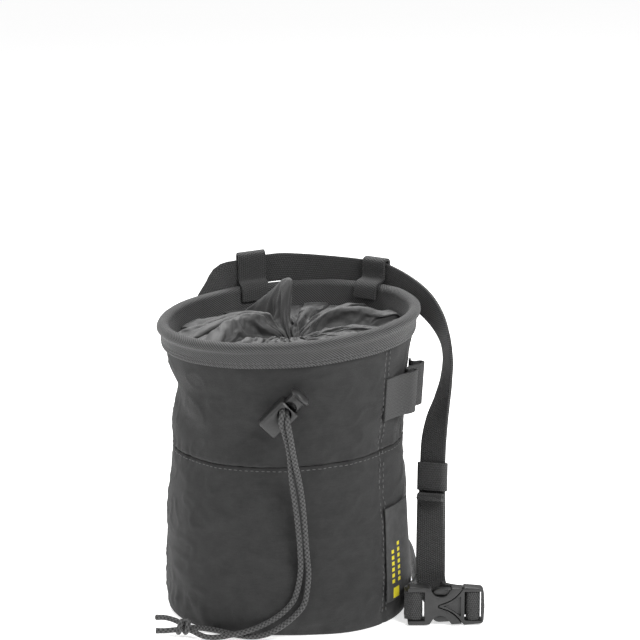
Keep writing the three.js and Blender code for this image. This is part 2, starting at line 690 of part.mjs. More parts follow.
// The rolled and stitched end of the belt's tail, under the keeper
function tailStop() {
  const end = tailFrames().at(-1);
  const up = end.face.clone().cross(end.across).normalize();
  const centre = end.at.clone().addScaledVector(end.face, -STOP_ROLL - WEB_THICK / 2 - GAP);
  const rise = Math.sign(up.z) * 0.2 * STOP_ROLL;
  centre.addScaledVector(up, rise).addScaledVector(end.across, 1.8);
  const section = (side, grow) =>
    Array.from({ length: 12 }, (_, i) => {
      const a = (i * Math.PI) / 6;
      return centre
        .clone()
        .addScaledVector(end.across, side * WEB_WIDTH)
        .addScaledVector(end.face, grow * STOP_ROLL * Math.cos(a))
        .addScaledVector(up, grow * STOP_ROLL * Math.sin(a));
    });
  return loft([section(-0.5, 0.86), section(-0.47, 1), section(0.47, 1), section(0.5, 0.86)]);
}

// Buckle shapes are drawn with x along the buckle and y across its width, then stood up
function plate(outline, depth, middle = 0) {
  const shape = new THREE.ExtrudeGeometry(outline, {
    depth,
    bevelEnabled: false,
    curveSegments: 6,
  });
  return shape.translate(0, 0, middle - depth / 2);
}

function block(x0, x1, y0, y1, z0, z1) {
  const box = new THREE.BoxGeometry(x1 - x0, y1 - y0, z1 - z0);
  return box.translate((x0 + x1) / 2, (y0 + y1) / 2, (z0 + z1) / 2);
}

function standBuckle(geometry) {
  return geometry.rotateX(Math.PI / 2).translate(BUCKLE_X, BUCKLE_Y, BUCKLE_Z);
}

const HALF = BUCKLE_WIDTH / 2;
const SLOT_HALF = WEB_WIDTH / 2 + GAP;
const TIP = 14.9; // the point of the plug's arrow, seen in the socket's face
const SHOULDER = 27.6; // where the arrow's flanks reach the edges
const NOTCH = { from: 11, to: 22.4, floor: 0.5 }; // openings over the prongs
const ARM_END = 12.4; // the prongs' free ends
const ARM_INNER = 5.7;
const ARM_OUTER = 8.9;
const ARM_THICK = 4;

function arrowFlank(shape, side, gap, towardsTip) {
  const tip = [TIP + gap + 0.9, side * (0.9 - 0.6 * gap)];
  const bend = [TIP + 6 + gap, side * (2.8 - gap)];
  const flare = [SHOULDER - 4 + gap, side * (3.4 - gap)];
  const shoulder = [SHOULDER + gap, side * (HALF - 0.7)];
  if (towardsTip) shape.bezierCurveTo(...flare, ...bend, ...tip);
  else shape.bezierCurveTo(...bend, ...flare, ...shoulder);
}

function notch(shape, side, forward) {
  const [a, b] = forward ? [NOTCH.from, NOTCH.to] : [NOTCH.to, NOTCH.from];
  const turn = forward ? 1 : -1;
  const floor = side * NOTCH.floor * HALF;
  const middle = (a + b) / 2;
  shape.lineTo(a, side * (HALF - 0.4));
  shape.bezierCurveTo(a + turn * 1.6, side * (HALF - 2), a + turn * 1.8, floor, middle, floor);
  const end = [b, side * (HALF - 0.4)];
  shape.bezierCurveTo(b - turn * 1.8, floor, b - turn * 1.6, side * (HALF - 2), ...end);
}

function buckleFemale() {
  const face = new THREE.Shape();
  face.moveTo(1.2, -HALF);
  face.lineTo(FEMALE_SLOT, -HALF);
  notch(face, -1, true);
  face.lineTo(SHOULDER, -(HALF - 0.7));
  arrowFlank(face, -1, 0, true);
  face.quadraticCurveTo(TIP, 0, TIP + 0.9, 0.9);
  arrowFlank(face, 1, 0, false);
  notch(face, 1, false);
  face.lineTo(FEMALE_SLOT, HALF);
  face.lineTo(1.2, HALF);
  face.quadraticCurveTo(0, HALF, 0, HALF - 1.2);
  face.lineTo(0, 1.2 - HALF);
  face.quadraticCurveTo(0, -HALF, 1.2, -HALF);
  const deep = BUCKLE_DEPTH;
  let body = solid(plate(face, BUCKLE_DEPTH));
  const thin = BAR_DEPTH / 2;
  const cuts = [
    block(FEMALE_BAR.to, FEMALE_SLOT, -SLOT_HALF, SLOT_HALF, -deep, deep),
    block(-1, FEMALE_BAR.from, -SLOT_HALF, SLOT_HALF, -deep, deep),
    block(-1, FEMALE_SLOT, -SLOT_HALF, SLOT_HALF, thin, deep),
    block(-1, FEMALE_SLOT, -SLOT_HALF, SLOT_HALF, -deep, -thin),
  ];
  const arm = ARM_THICK / 2 + GAP;
  for (const side of [-1, 1]) {
    const reach = [side * (ARM_INNER - GAP), side * (ARM_OUTER + GAP)];
    const [low, high] = [Math.min(...reach), Math.max(...reach)];
    cuts.push(block(ARM_END - GAP, BUCKLE_LENGTH, low, high, -arm, arm));
  }
  for (const cut of cuts) body = body.subtract(solid(cut));
  return standBuckle(fromSolid(body));
}

function buckleMale() {
  const gap = 1.5 * GAP;
  const arrow = new THREE.Shape();
  const end = BUCKLE_LENGTH;
  arrow.moveTo(SHOULDER + gap, -(HALF - 0.7));
  arrow.lineTo(MALE_SLOT, -HALF);
  arrow.lineTo(end - 2.6, -HALF + 0.6);
  arrow.quadraticCurveTo(end - 0.6, -HALF + 0.8, end - 0.4, 2.6 - HALF);
  arrow.lineTo(end, 0);
  arrow.lineTo(end - 0.4, HALF - 2.6);
  arrow.quadraticCurveTo(end - 0.6, HALF - 0.8, end - 2.6, HALF - 0.6);
  arrow.lineTo(MALE_SLOT, HALF);
  arrow.lineTo(SHOULDER + gap, HALF - 0.7);
  arrowFlank(arrow, 1, gap, true);
  arrow.quadraticCurveTo(TIP + gap, 0, TIP + gap + 0.9, 0.6 * gap - 0.9);
  arrowFlank(arrow, -1, gap, false);
  let body = solid(plate(arrow, BUCKLE_DEPTH - 0.6));
  for (const side of [-1, 1]) {
    const arm = new THREE.Shape();
    const [low, high] = [side * ARM_INNER, side * ARM_OUTER];
    arm.moveTo(SHOULDER + 3, low);
    arm.lineTo(ARM_END + 1.6, low);
    arm.quadraticCurveTo(ARM_END, low, ARM_END + 0.4, low + side * 1.2);
    arm.quadraticCurveTo(ARM_END + 1.4, high, ARM_END + 4, high);
    arm.lineTo(SHOULDER + 3, high - side * 0.8);
    body = body.add(solid(plate(arm, ARM_THICK)));
  }
  const recess = new THREE.Shape();
  recess.moveTo(TIP + 3.4, 0);
  recess.quadraticCurveTo(TIP + 8, 1.9, SHOULDER - 0.6, HALF - 4.6);
  recess.lineTo(SHOULDER - 0.6, 4.6 - HALF);
  recess.quadraticCurveTo(TIP + 8, -1.9, TIP + 3.4, 0);
  const front = BUCKLE_DEPTH / 2 - 0.3;
  const deep = BUCKLE_DEPTH;
  const thin = BAR_DEPTH / 2;
  const cuts = [
    plate(recess, 3, front),
    block(MALE_SLOT, MALE_BAR.from, -SLOT_HALF, SLOT_HALF, -deep, deep),
    block(MALE_BAR.to, END_SLOT, -SLOT_HALF, SLOT_HALF, -deep, deep),
    block(MALE_SLOT, END_SLOT, -SLOT_HALF, SLOT_HALF, thin, deep),
    block(MALE_SLOT, END_SLOT, -SLOT_HALF, SLOT_HALF, -deep, -thin),
  ];
  for (const cut of cuts) body = body.subtract(solid(cut));
  return standBuckle(fromSolid(body));
}

// The brush loop: one band that stands off the wall twice. Turn is counted from the side
// seam in degrees, off is a share of the body's radius.
const BRUSH = [
  { turn: -0.6, off: 0.0145 },
  { turn: 7, off: 0.026 },
  { turn: 12, off: 0.06 },
  { turn: 16, off: 0.108 },
  { turn: 19, off: 0.118 },
  { turn: 20.5, off: 0.09 },
  { turn: 19, off: 0.05 },
  { turn: 20.5, off: 0.026 },
  { turn: 23, off: 0.028 },
  { turn: 26, off: 0.06 },
  { turn: 29, off: 0.115 },
  { turn: 32, off: 0.13 },
  { turn: 33.8, off: 0.105 },
  { turn: 33, off: 0.055 },
  { turn: 34.5, off: 0.024 },
  { turn: 39, off: 0.018 },
];

function brushLoop() {
  const edge = (height) =>
    BRUSH.map(({ turn, off }) => onWall(SIDE_SEAM + turn, height, off * BODY_RADIUS));
  const high = edge(BRUSH_HEIGHT + BRUSH_WIDTH / 2);
  const low = edge(BRUSH_HEIGHT - BRUSH_WIDTH / 2);
  const points = high.map((p, i) => p.clone().add(low[i]).multiplyScalar(0.5));
  const frames = points.map((at, i) => {
    const along = points[Math.min(i + 1, points.length - 1)].clone();
    along.sub(points[Math.max(i - 1, 0)]);
    const across = high[i].clone().sub(low[i]).normalize();
    along.addScaledVector(across, -along.dot(across)).normalize();
    return { at, across, face: along.cross(across) };
  });
  return strap(frames, BRUSH_WIDTH, BRUSH_THICK);
}

// The side tab is sewn into the side seam by its left edge; its free corner lifts
function sideTab() {
  const across = [0, 0.25, 0.5, 0.75, 1];
  const down = [0, 0.25, 0.5, 0.75, 1];
  const skin = new Skin();
  const grid = (out) =>
    down.map((v) =>
      across.map((u) => {
        const turn = SIDE_SEAM + u * TAB_SPAN * (1 + 0.1 * v);
        const z = TAB_HEIGHT + TAB_LENGTH * (0.5 - v);
        const lift = 2 * GAP + TAB_LIFT * u * u * (0.3 + 0.7 * v);
        return skin.add(onWall(turn, z, lift + out));
      }),
    );
  const outer = grid(TAB_THICK);
  const inner = grid(0);
  const last = across.length - 1;
  for (let i = 0; i < down.length - 1; i += 1) {
    for (let j = 0; j < last; j += 1) {
      skin.quad(outer[i][j], outer[i + 1][j], outer[i + 1][j + 1], outer[i][j + 1]);
      skin.quad(inner[i][j], inner[i][j + 1], inner[i + 1][j + 1], inner[i + 1][j]);
    }
    skin.quad(outer[i][0], inner[i][0], inner[i + 1][0], outer[i + 1][0]);
    skin.quad(outer[i][last], outer[i + 1][last], inner[i + 1][last], inner[i][last]);
  }
  const foot = down.length - 1;
  for (let j = 0; j < last; j += 1) {
    skin.quad(outer[0][j], outer[0][j + 1], inner[0][j + 1], inner[0][j]);
    skin.quad(outer[foot][j], inner[foot][j], inner[foot][j + 1], outer[foot][j + 1]);
  }
  return skin.geometry();
}

// The cord lock is drawn with x along its axis, from the hole towards the cap, and z to
// the front; lockGroup stands it against the bag.
const MOUTH = HOLE_INSET;
const LOW_END = HOLE_INSET - BARREL_LENGTH;
const CORD_PLACE = CORD / 2 + GAP / 2; // each cord's middle, across from the lock's axis
const HOLE_HALF = CORD_PLACE + CORD / 2 + 1.5 * GAP;
const CAP_GAP = PRESS + 2.4;

function lockBarrel() {
  const [w, d] = [BARREL_WIDTH / 2, BARREL_DEPTH / 2];
  const corner = 1.8;
  const section = (x, shrink) => {
    const points = [];
    const centres = [
      [w - corner, d - corner, 0],
      [corner - w, d - corner, 90],
      [corner - w, corner - d, 180],
      [w - corner, corner - d, 270],
    ];
    for (const [y, z, from] of centres)
      for (const step of [0, 30, 60, 90]) {
        const a = degrees(from + step);
        const r = corner - shrink;
        points.push(vec(x, y + r * Math.cos(a), z + r * Math.sin(a)));
      }
    return points;
  };
  const outer = loft([
    section(LOW_END, 1.2),
    section(LOW_END + 0.5, 0.4),
    section(LOW_END + 1.4, 0),
    section(MOUTH - 0.6, 0),
    section(MOUTH, 0.5),
  ]);
  const bore = new THREE.CylinderGeometry(1, 1, BARREL_LENGTH - 2.2, 20);
  bore.scale(STEM_RADIUS + GAP, 1, STEM_RADIUS + GAP).rotateZ(-Math.PI / 2);
  bore.translate((LOW_END + 2.2 + MOUTH) / 2 + 0.1, 0, 0);
  const hole = cordHole(-0.1, 0.1);
  return fromSolid(solid(outer).subtract(solid(bore)).subtract(solid(hole)));
}

// A hole for the two cords, round or drawn out from one place on the axis to another
function cordHole(from, to) {
  const outline = new THREE.Shape();
  outline.absarc(to, 0, HOLE_HALF, -Math.PI / 2, Math.PI / 2);
  outline.absarc(from, 0, HOLE_HALF, Math.PI / 2, 1.5 * Math.PI);
  const depth = 2 * BARREL_DEPTH;
  const hole = new THREE.ExtrudeGeometry(outline, {
    depth,
    bevelEnabled: false,
    curveSegments: 8,
  });
  return hole.translate(0, 0, -depth / 2);
}

function lockPlunger() {
  const stemEnd = LOW_END + 2.2 + PRESS + 1.2;
  const under = MOUTH + CAP_GAP;
  const r = STEM_RADIUS;
  const cap = BARREL_WIDTH / 2;
  const profile = [
    [0, stemEnd],
    [r - 0.5, stemEnd],
    [r, stemEnd + 0.5],
    [r, under - 1.1],
    [r + 0.5, under - 0.9],
    [r + 0.5, under - 0.3],
    [cap - 0.7, under],
    [cap, under + 0.7],
    [cap - 0.1, under + 0.45 * CAP_THICK],
    [0.72 * cap, under + 0.82 * CAP_THICK],
    [0.4 * cap, under + 0.96 * CAP_THICK],
    [0, under + CAP_THICK],
  ].map(([x, y]) => new THREE.Vector2(x, y));
  const turnedPiece = new THREE.LatheGeometry(profile, 20).rotateZ(-Math.PI / 2);
  const flatten = turnedPiece.attributes.position;
  for (let i = 0; i < flatten.count; i += 1) {
    const z = flatten.getZ(i) * (BARREL_DEPTH / BARREL_WIDTH);
    if (flatten.getX(i) > MOUTH + 1) flatten.setZ(i, z);
  }
  const slot = cordHole(-GAP, PRESS + GAP);
  return fromSolid(solid(turnedPiece).subtract(solid(slot)));
}

// A ring of the eyelet on the wall, round the cords
function cordEyelet() {
  const outer = new THREE.CylinderGeometry(EYELET_RADIUS, EYELET_RADIUS + 0.4, 1, 24);
  const hole = new THREE.CylinderGeometry(1.3 * CORD, 1.3 * CORD, 8, 16);
  const ring = fromSolid(solid(outer).subtract(solid(hole)));
  const front = -(BARREL_BACK - GAP - 0.5);
  return ring.rotateX(Math.PI).translate(LOCK_X, front, LOCK_Z);
}

// A round cord through chosen points, as a chain of rings
function cordTube(points, steps, radius = CORD / 2) {
  const path = new THREE.CatmullRomCurve3(points.map((p) => vec(...p)));
  const ring = new THREE.Shape();
  const sides = 8;
  for (let i = 0; i < sides; i += 1) {
    const a = (i * 2 * Math.PI) / sides;
    if (i === 0) ring.moveTo(radius, 0);
    else ring.lineTo(radius * Math.cos(a), radius * Math.sin(a));
  }
  ring.closePath();
  return new THREE.ExtrudeGeometry(ring, {
    steps,
    extrudePath: path,
    bevelEnabled: false,
    curveSegments: 1,
  });
}

// The drawcord's two strands, from the lock's mouth down the front and along the ground
const STRAND_RIGHT = [
  [-1.1, -72.3, 120.0],
  [-1.05, -74.6, 119.7],
  [-0.4, -75.9, 116.8],
  [0.7, -75.2, 110.4],
  [1.8, -73.7, 103.2],
  [3.0, -71.8, 96.2],
  [4.6, -69.9, 88.2],
  [6.1, -68.6, 78.8],
  [7.2, -67.7, 68.1],
  [8.0, -67.1, 57.5],
  [8.8, -66.7, 46.8],
  [9.6, -66.4, 37.2],
  [8.9, -66.5, 28.4],
  [7.2, -66.6, 20.6],
  [1.2, -66.3, 13.2],
  [-5.8, -65.2, 7.4],
  [-12.0, -63.6, 3.7],
  [-18.4, -61.6, 1.9],
  [-26.6, -58.2, 1.55],
  [-35.4, -52.6, 1.6],
  [-43.0, -49.6, 1.9],
  [-49.0, -53.5, 3.95],
];
const STRAND_LEFT = [
  [-3.3, -72.3, 122.2],
  [-3.4, -74.7, 121.8],
  [-3.8, -75.1, 118.2],
  [-2.2, -73.0, 111.6],
  [-0.4, -71.1, 103.8],
  [0.6, -69.5, 95.4],
  [1.2, -68.7, 86.4],
  [2.3, -68.2, 78.6],
  [3.7, -67.8, 68.0],
  [4.7, -67.4, 58.2],
  [5.4, -67.0, 49.2],
  [5.7, -66.7, 40.2],
  [4.6, -66.1, 30.8],
  [2.2, -66.0, 23.0],
  [-2.4, -65.6, 17.0],
  [-8.4, -64.2, 11.8],
  [-14.4, -63.0, 8.1],
  [-20.6, -62.6, 5.4],
  [-28.0, -62.6, 3.5],
  [-35.8, -61.8, 1.8],
  [-42.6, -60.6, 1.7],
  [-49.0, -57.9, 3.7],
];
// The stretch that the bag hides: from the lock through the eyelet to the collar's mouth
const INNER_RIGHT = [
  [-1.1, -71.8, 120.0],
  [-1.1, -66, 120.0],
  [-1.1, -60, 120.0],
  [-0.7, -55, 120.6],
  [0.2, -40, 124.8],
  [1.0, -20, 132],
  [1.8, -6, 138.0],
];
const INNER_LEFT = [
  [-3.3, -71.8, 122.2],
  [-3.3, -66, 122.2],
  [-3.3, -60, 122.2],
  [-3.2, -55, 122.6],
  [-3.0, -40, 125.8],
  [-2.6, -20, 132.4],
  [-1.6, -6, 138.0],
];
const KNOT_AT = [-53.4, -55.2, 5.0];
const TAILS = [
  [
    [-54.0, -54.6, 6.2],
    [-58.6, -51.0, 7.2],
    [-63.4, -47.6, 7.2],
    [-67.6, -45.2, 6.4],
  ],
  [
    [-54.0, -56.4, 4.2],
    [-58.6, -57.0, 4.0],
    [-63.2, -57.0, 3.6],
    [-67.2, -56.2, 3.3],
  ],
];

function cordKnot() {
  const lump = new THREE.SphereGeometry(1, 14, 10).scale(3.9, 5.2, 4.3);
  lump.rotateZ(degrees(-8)).translate(...KNOT_AT);
  let knot = solid(lump);
  for (const tail of TAILS) knot = knot.add(solid(cordTube(tail, 3)));
  return fromSolid(knot);
}

// Materials, by what the pieces are made of
function finish(color, roughness, metalness = 0) {
  return new THREE.MeshStandardMaterial({ color, roughness, metalness });
}

const PACK_CLOTH = finish(0x1d1e20, 0.85);
const TRIM_CLOTH = finish(0x18191a, 0.8);
const NYLON = finish(0x222325, 0.55);
const WEBBING = finish(0x151617, 0.8);
const PLASTIC = finish(0x17181a, 0.45);
const BRAID = finish(0x131415, 0.85);

const bag = new THREE.Group();

function piece(name, geometry, material, parent = bag) {
  const mesh = new THREE.Mesh(geometry, material);
  mesh.name = name;
  parent.add(mesh);
}

piece("base_panel", basePanel(), PACK_CLOTH);
piece("lower_panel", lowerPanel(), PACK_CLOTH);
piece("upper_panel", upperPanel(), PACK_CLOTH);
piece("rim_binding", rimBinding(), TRIM_CLOTH);
piece("collar", collar(), NYLON);
for (const [name, turn] of Object.entries(LOOPS)) piece(name, beltLoop(turn), WEBBING);
piece("waist_belt", waistBelt(), WEBBING);
piece("belt_keeper", beltKeeper(), WEBBING);
piece("belt_tail_stop", tailStop(), WEBBING);
piece("buckle_female", buckleFemale(), PLASTIC);
piece("buckle_male", buckleMale(), PLASTIC);
piece("brush_loop", brushLoop(), WEBBING);
piece("side_tab", sideTab(), TRIM_CLOTH);
piece("cord_eyelet", cordEyelet(), PLASTIC);

const lockGroup = new THREE.Group();
lockGroup.position.set(LOCK_X, -(BARREL_BACK + BARREL_DEPTH / 2), LOCK_Z);
lockGroup.rotation.x = Math.PI / 2;
const lockAxis = new THREE.Group();
lockAxis.rotation.z = degrees(LOCK_LEAN);
lockGroup.add(lockAxis);
bag.add(lockGroup);
piece("lock_barrel", lockBarrel(), PLASTIC, lockAxis);
piece("lock_plunger", lockPlunger(), PLASTIC, lockAxis);

piece("drawcord_inner_left", cordTube(INNER_LEFT, 12), BRAID);
piece("drawcord_inner_right", cordTube(INNER_RIGHT, 12), BRAID);
piece("drawcord_left", cordTube(STRAND_LEFT, 27), BRAID);
piece("drawcord_right", cordTube(STRAND_RIGHT, 27), BRAID);
piece("cord_knot", cordKnot(), BRAID);

export default bag;
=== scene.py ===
"""A climbing chalk bag: drawn shut, standing on its base, its belt buckled round behind it.

Places are worked out in millimetres, z up, with the front towards -y, and become metres
when a mesh is made. Turn is an angle round the bag in degrees, counted from +x.
"""

import math

import bmesh
import bpy
from mathutils import Matrix, Vector, noise


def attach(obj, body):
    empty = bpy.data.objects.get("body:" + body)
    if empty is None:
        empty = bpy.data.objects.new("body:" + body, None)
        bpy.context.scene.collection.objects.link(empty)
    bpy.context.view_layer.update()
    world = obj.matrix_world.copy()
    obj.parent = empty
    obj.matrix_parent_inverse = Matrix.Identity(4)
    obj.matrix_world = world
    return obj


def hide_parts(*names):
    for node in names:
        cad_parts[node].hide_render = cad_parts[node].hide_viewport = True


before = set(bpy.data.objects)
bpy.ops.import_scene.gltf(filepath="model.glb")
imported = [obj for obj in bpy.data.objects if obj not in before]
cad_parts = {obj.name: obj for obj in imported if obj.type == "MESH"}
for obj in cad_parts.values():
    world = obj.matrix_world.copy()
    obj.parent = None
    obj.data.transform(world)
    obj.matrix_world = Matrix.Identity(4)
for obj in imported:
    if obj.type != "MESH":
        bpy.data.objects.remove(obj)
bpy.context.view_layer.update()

MM = 0.001
CLOTH_MAP = "Cloth"

# Driving sizes, as in the part
RIM_HEIGHT = 152.5
RIM_ROLL = 3.1
RIM_BAND = 9.8
RIM_TILT = 0.065
BODY_RADIUS = 62.9
RIM_OUT = 1.5
RIM_RADIUS = BODY_RADIUS + RIM_OUT
SEAM_HEIGHT = 90
FLAT_RADIUS = 54.4
CLOTH = 1.6
BINDING = 1.3
GAP = 0.3
WEB_WIDTH = 15
WEB_THICK = 1.4
BELT_RISE = 9.3
KEEPER_LENGTH = 14.5
KEEPER_WALL = 0.8
KEEPER_ROOM = 1.2
KEEPER_HEIGHT = 69.7
STOP_ROLL = 2.4
BUCKLE_WIDTH = 20
BUCKLE_DEPTH = 7.4
BRUSH_WIDTH = 22
BRUSH_THICK = 1.1
BRUSH_HEIGHT = 116
SIDE_SEAM = -37.5
TAB_LENGTH = 49
TAB_HEIGHT = 35.5
TAB_SPAN = 23.5
TAB_THICK = 0.8
TAB_LIFT = 1
CORD = 2.8
LOCK_X = -2.2
LOCK_Z = 0.794 * RIM_HEIGHT
WALL_TOP = RIM_HEIGHT - BINDING - 0.6


def vec(x, y, z):
    return Vector((x, y, z))


# The camera and the light
CAMERA_LENS = 162.84
CAMERA_AT = vec(0, -1434.5, 516.6)
CAMERA_DIP = 14.311
CAMERA_TURN = -0.641


def set_camera():
    data = bpy.data.cameras.new("camera")
    data.lens = CAMERA_LENS
    data.sensor_width = 36
    data.clip_start = 0.05
    data.clip_end = 20
    eye = bpy.data.objects.new("camera", data)
    eye.location = CAMERA_AT * MM
    eye.rotation_euler = (math.radians(90 - CAMERA_DIP), 0, math.radians(CAMERA_TURN))
    bpy.context.scene.collection.objects.link(eye)
    bpy.context.scene.camera = eye


def add_light(name, at, aim, size, power, color=(1, 1, 1)):
    data = bpy.data.lights.new(name, "AREA")
    data.shape = "RECTANGLE"
    data.size, data.size_y = size
    data.energy = power
    data.color = color
    lamp = bpy.data.objects.new(name, data)
    lamp.location = at
    lamp.rotation_euler = (Vector(aim) - Vector(at)).to_track_quat("-Z", "Y").to_euler()
    bpy.context.scene.collection.objects.link(lamp)


def set_light():
    world = bpy.data.worlds.new("studio")
    world.use_nodes = True
    sky = world.node_tree.nodes["Background"]
    sky.inputs["Color"].default_value = (1, 1, 1, 1)
    sky.inputs["Strength"].default_value = 0.36
    bpy.context.scene.world = world
    bpy.context.scene.view_settings.view_transform = "Standard"
    target = (0, 0, 0.09)
    add_light("key_right", (0.62, -0.75, 0.95), target, (0.45, 0.45), 13)
    add_light("fill_left", (-0.95, -0.45, 0.4), target, (0.4, 0.9), 2.5)
    add_light("back_top", (-0.15, 0.55, 0.95), target, (0.8, 0.3), 13)


set_camera()
set_light()


# Curves


class Line:
    """A smooth curve through chosen points, read by a share of its points or its length."""

    FINE = 600

    def __init__(self, points):
        self.points = [Vector(p) for p in points]
        places = [self.at(i / self.FINE) for i in range(self.FINE + 1)]
        self.run = [0.0]
        for a, b in zip(places, places[1:]):
            self.run.append(self.run[-1] + (b - a).length)
        self.length = self.run[-1]

    def at(self, t):
        points, place = self.points, t * (len(self.points) - 1)
        i = min(int(place), len(points) - 2)
        a, b = points[i], points[i + 1]
        before = points[i - 1] if i else 2 * a - b
        after = points[i + 2] if i + 2 < len(points) else 2 * b - a
        w = place - i
        gap = (b - a).length_squared ** 0.25
        gap = gap if gap > 1e-4 else 1
        gaps = [max((q - p).length_squared ** 0.25, 0) for p, q in ((before, a), (b, after))]
        early, late = [g if g > 1e-4 else gap for g in gaps]
        leave = (a - before) / early - (b - before) / (early + gap) + (b - a) / gap
        arrive = (b - a) / gap - (after - a) / (gap + late) + (after - b) / late
        leave, arrive = leave * gap, arrive * gap
        square = 3 * (b - a) - 2 * leave - arrive
        cube = 2 * (a - b) + leave + arrive
        return a + leave * w + square * w**2 + cube * w**3

    def share(self, length_share):
        """The share of the points at a share of the length."""
        goal = length_share * self.length
        low, high = 0, self.FINE
        while high - low > 1:
            middle = (low + high) // 2
            if self.run[middle] <= goal:
                low = middle
            else:
                high = middle
        span = max(self.run[high] - self.run[low], 1e-9)
        return (low + min(max((goal - self.run[low]) / span, 0), 1)) / self.FINE

    def along(self, t):
        low, high = max(t - 1e-4, 0), min(t + 1e-4, 1)
        return (self.at(high) - self.at(low)).normalized()

    def spaced(self, step):
        count = max(2, round(self.length / step))
        return [self.at(self.share(i / count)) for i in range(count + 1)]


def read(table, at):
    """The columns of a table, read smoothly between its rows; the first is where."""
    last = len(table) - 1
    if at <= table[0][0]:
        return table[0][1:]
    if at >= table[last][0]:
        return table[last][1:]
    i = 0
    while table[i + 1][0] < at:
        i += 1
    a, b = table[i], table[i + 1]
    before, after = table[max(i - 1, 0)], table[min(i + 2, last)]
    span = b[0] - a[0]
    t = (at - a[0]) / span
    found = []
    for c in range(1, len(a)):
        leave = (b[c] - before[c]) / max(b[0] - before[0], 1e-9)
        arrive = (after[c] - a[c]) / max(after[0] - a[0], 1e-9)
        found.append(
            (2 * t**3 - 3 * t**2 + 1) * a[c]
            + (t**3 - 2 * t**2 + t) * span * leave
            + (3 * t**2 - 2 * t**3) * b[c]
            + (t**3 - t**2) * span * arrive
        )
    return found


def turn_between(turn, middle):
    return (turn - middle + 180) % 360 - 180


# Shader maths and nodes


class Value:
    """A number that a shader works out; Python's own signs add the maths."""

    def __init__(self, paint, socket):
        self.paint, self.socket = paint, socket

    def _maths(self, operation, *parts):
        sockets = dict(enumerate(parts))
        return Value(self.paint, self.paint.add("Math", sockets, operation=operation).outputs[0])

    def __add__(self, other):
        return self._maths("ADD", self, other)

    def __radd__(self, other):
        return self._maths("ADD", other, self)

    def __sub__(self, other):
        return self._maths("SUBTRACT", self, other)

    def __rsub__(self, other):
        return self._maths("SUBTRACT", other, self)

    def __mul__(self, other):
        return self._maths("MULTIPLY", self, other)

    def __rmul__(self, other):
        return self._maths("MULTIPLY", other, self)

    def __truediv__(self, other):
        return self._maths("DIVIDE", self, other)

    def __rtruediv__(self, other):
        return self._maths("DIVIDE", other, self)

    def __pow__(self, other):
        return self._maths("POWER", self, other)

    def __neg__(self):
        return self._maths("MULTIPLY", self, -1)

    def __abs__(self):
        return self._maths("ABSOLUTE", self)

    def __mod__(self, other):
        return self._maths("FLOORED_MODULO", self, other)

    def __gt__(self, other):
        return self._maths("GREATER_THAN", self, other)

    def __lt__(self, other):
        return self._maths("LESS_THAN", self, other)

    def floor(self):
        return self._maths("FLOOR", self)

    def sine(self):
        return self._maths("SINE", self)

    def wave(self, pitch):
        """0 to 1 and back once a pitch."""
        return 0.5 + 0.5 * (self * (2 * math.pi / pitch)).sine()

    def smooth(self, low, high):
        """0 below low, 1 above high, smooth between."""
        sockets = {"Value": self, "From Min": low, "From Max": high}
        node = self.paint.add("MapRange", sockets, interpolation_type="SMOOTHSTEP")
        return Value(self.paint, node.outputs["Result"])


class Paint:
    """One material and its nodes."""

    def __init__(self, name, slot):
        self.slot = slot
        self.material = bpy.data.materials.new(name)
        self.material.use_nodes = True
        self.tree = self.material.node_tree
        self.tree.nodes.clear()
        self.out = self.add("OutputMaterial")
        self.shader = self.add("BsdfPrincipled")
        self.tree.links.new(self.shader.outputs[0], self.out.inputs["Surface"])

    def add(self, kind, sockets=None, stops=None, **settings):
        node = self.tree.nodes.new("ShaderNode" + kind)
        for key, setting in settings.items():
            setattr(node, key, setting)
        if stops:
            ramp = node.color_ramp.elements
            while len(ramp) > len(stops):
                ramp.remove(ramp[-1])
            while len(ramp) < len(stops):
                ramp.new(1)
            for stop, (place, color) in zip(ramp, stops):
                stop.position, stop.color = place, color
        for key, given in (sockets or {}).items():
            self.feed(node.inputs[key], given)
        return node

    def feed(self, socket, given):
        given = getattr(given, "socket", given)
        if isinstance(given, bpy.types.NodeSocket):
            self.tree.links.new(given, socket)
        else:
            socket.default_value = given

    def surface(self, **sockets):
        for key, given in sockets.items():
            self.feed(self.shader.inputs[key.replace("_", " ")], given)

    def value(self, kind, sockets=None, output=0, **settings):
        return Value(self, self.add(kind, sockets, **settings).outputs[output])

    def parts(self, vector):
        node = self.add("SeparateXYZ", {"Vector": vector})
        return [Value(self, socket) for socket in node.outputs]

    def cloth(self):
        """The place on the cut cloth, in mm: along, across."""
        vector = self.add("UVMap", uv_map=CLOTH_MAP).outputs["UV"]
        return vector, self.parts(vector)[:2]

    def place(self):
        """The place on the object, in mm."""
        inside = self.add("TexCoord").outputs["Object"]
        scaled = self.add("VectorMath", {0: inside, "Scale": 1000.0}, operation="SCALE")
        return scaled.outputs["Vector"]

    def stretched(self, vector, by):
        node = self.add("VectorMath", {0: vector, 1: by}, operation="MULTIPLY")
        return node.outputs["Vector"]

    def grain(self, vector, size, detail=2.0, rough=0.5):
        """Noise of a size in mm, 0 to 1."""
        sockets = {"Vector": vector, "Scale": 1 / size, "Detail": detail, "Roughness": rough}
        return self.value("TexNoise", sockets, noise_dimensions="3D")

    def mixed(self, share, low, high):
        """A colour between two, which are three numbers or another colour's socket."""
        low, high = [c if isinstance(c, bpy.types.NodeSocket) else (*c, 1) for c in (low, high)]
        sockets = {0: share, 6: low, 7: high}
        return self.add("Mix", sockets, data_type="RGBA").outputs[2]

    def relief(self, height, depth, below=None):
        """Bump of a height of 0 to 1 that stands depth mm high."""
        sockets = {"Height": height, "Distance": depth * MM, "Strength": 1.0}
        if below is not None:
            sockets["Normal"] = below
        return self.add("Bump", sockets).outputs["Normal"]


def grey(level, warm=0.0):
    return (level * (1 + warm), level, level * (1 - warm))


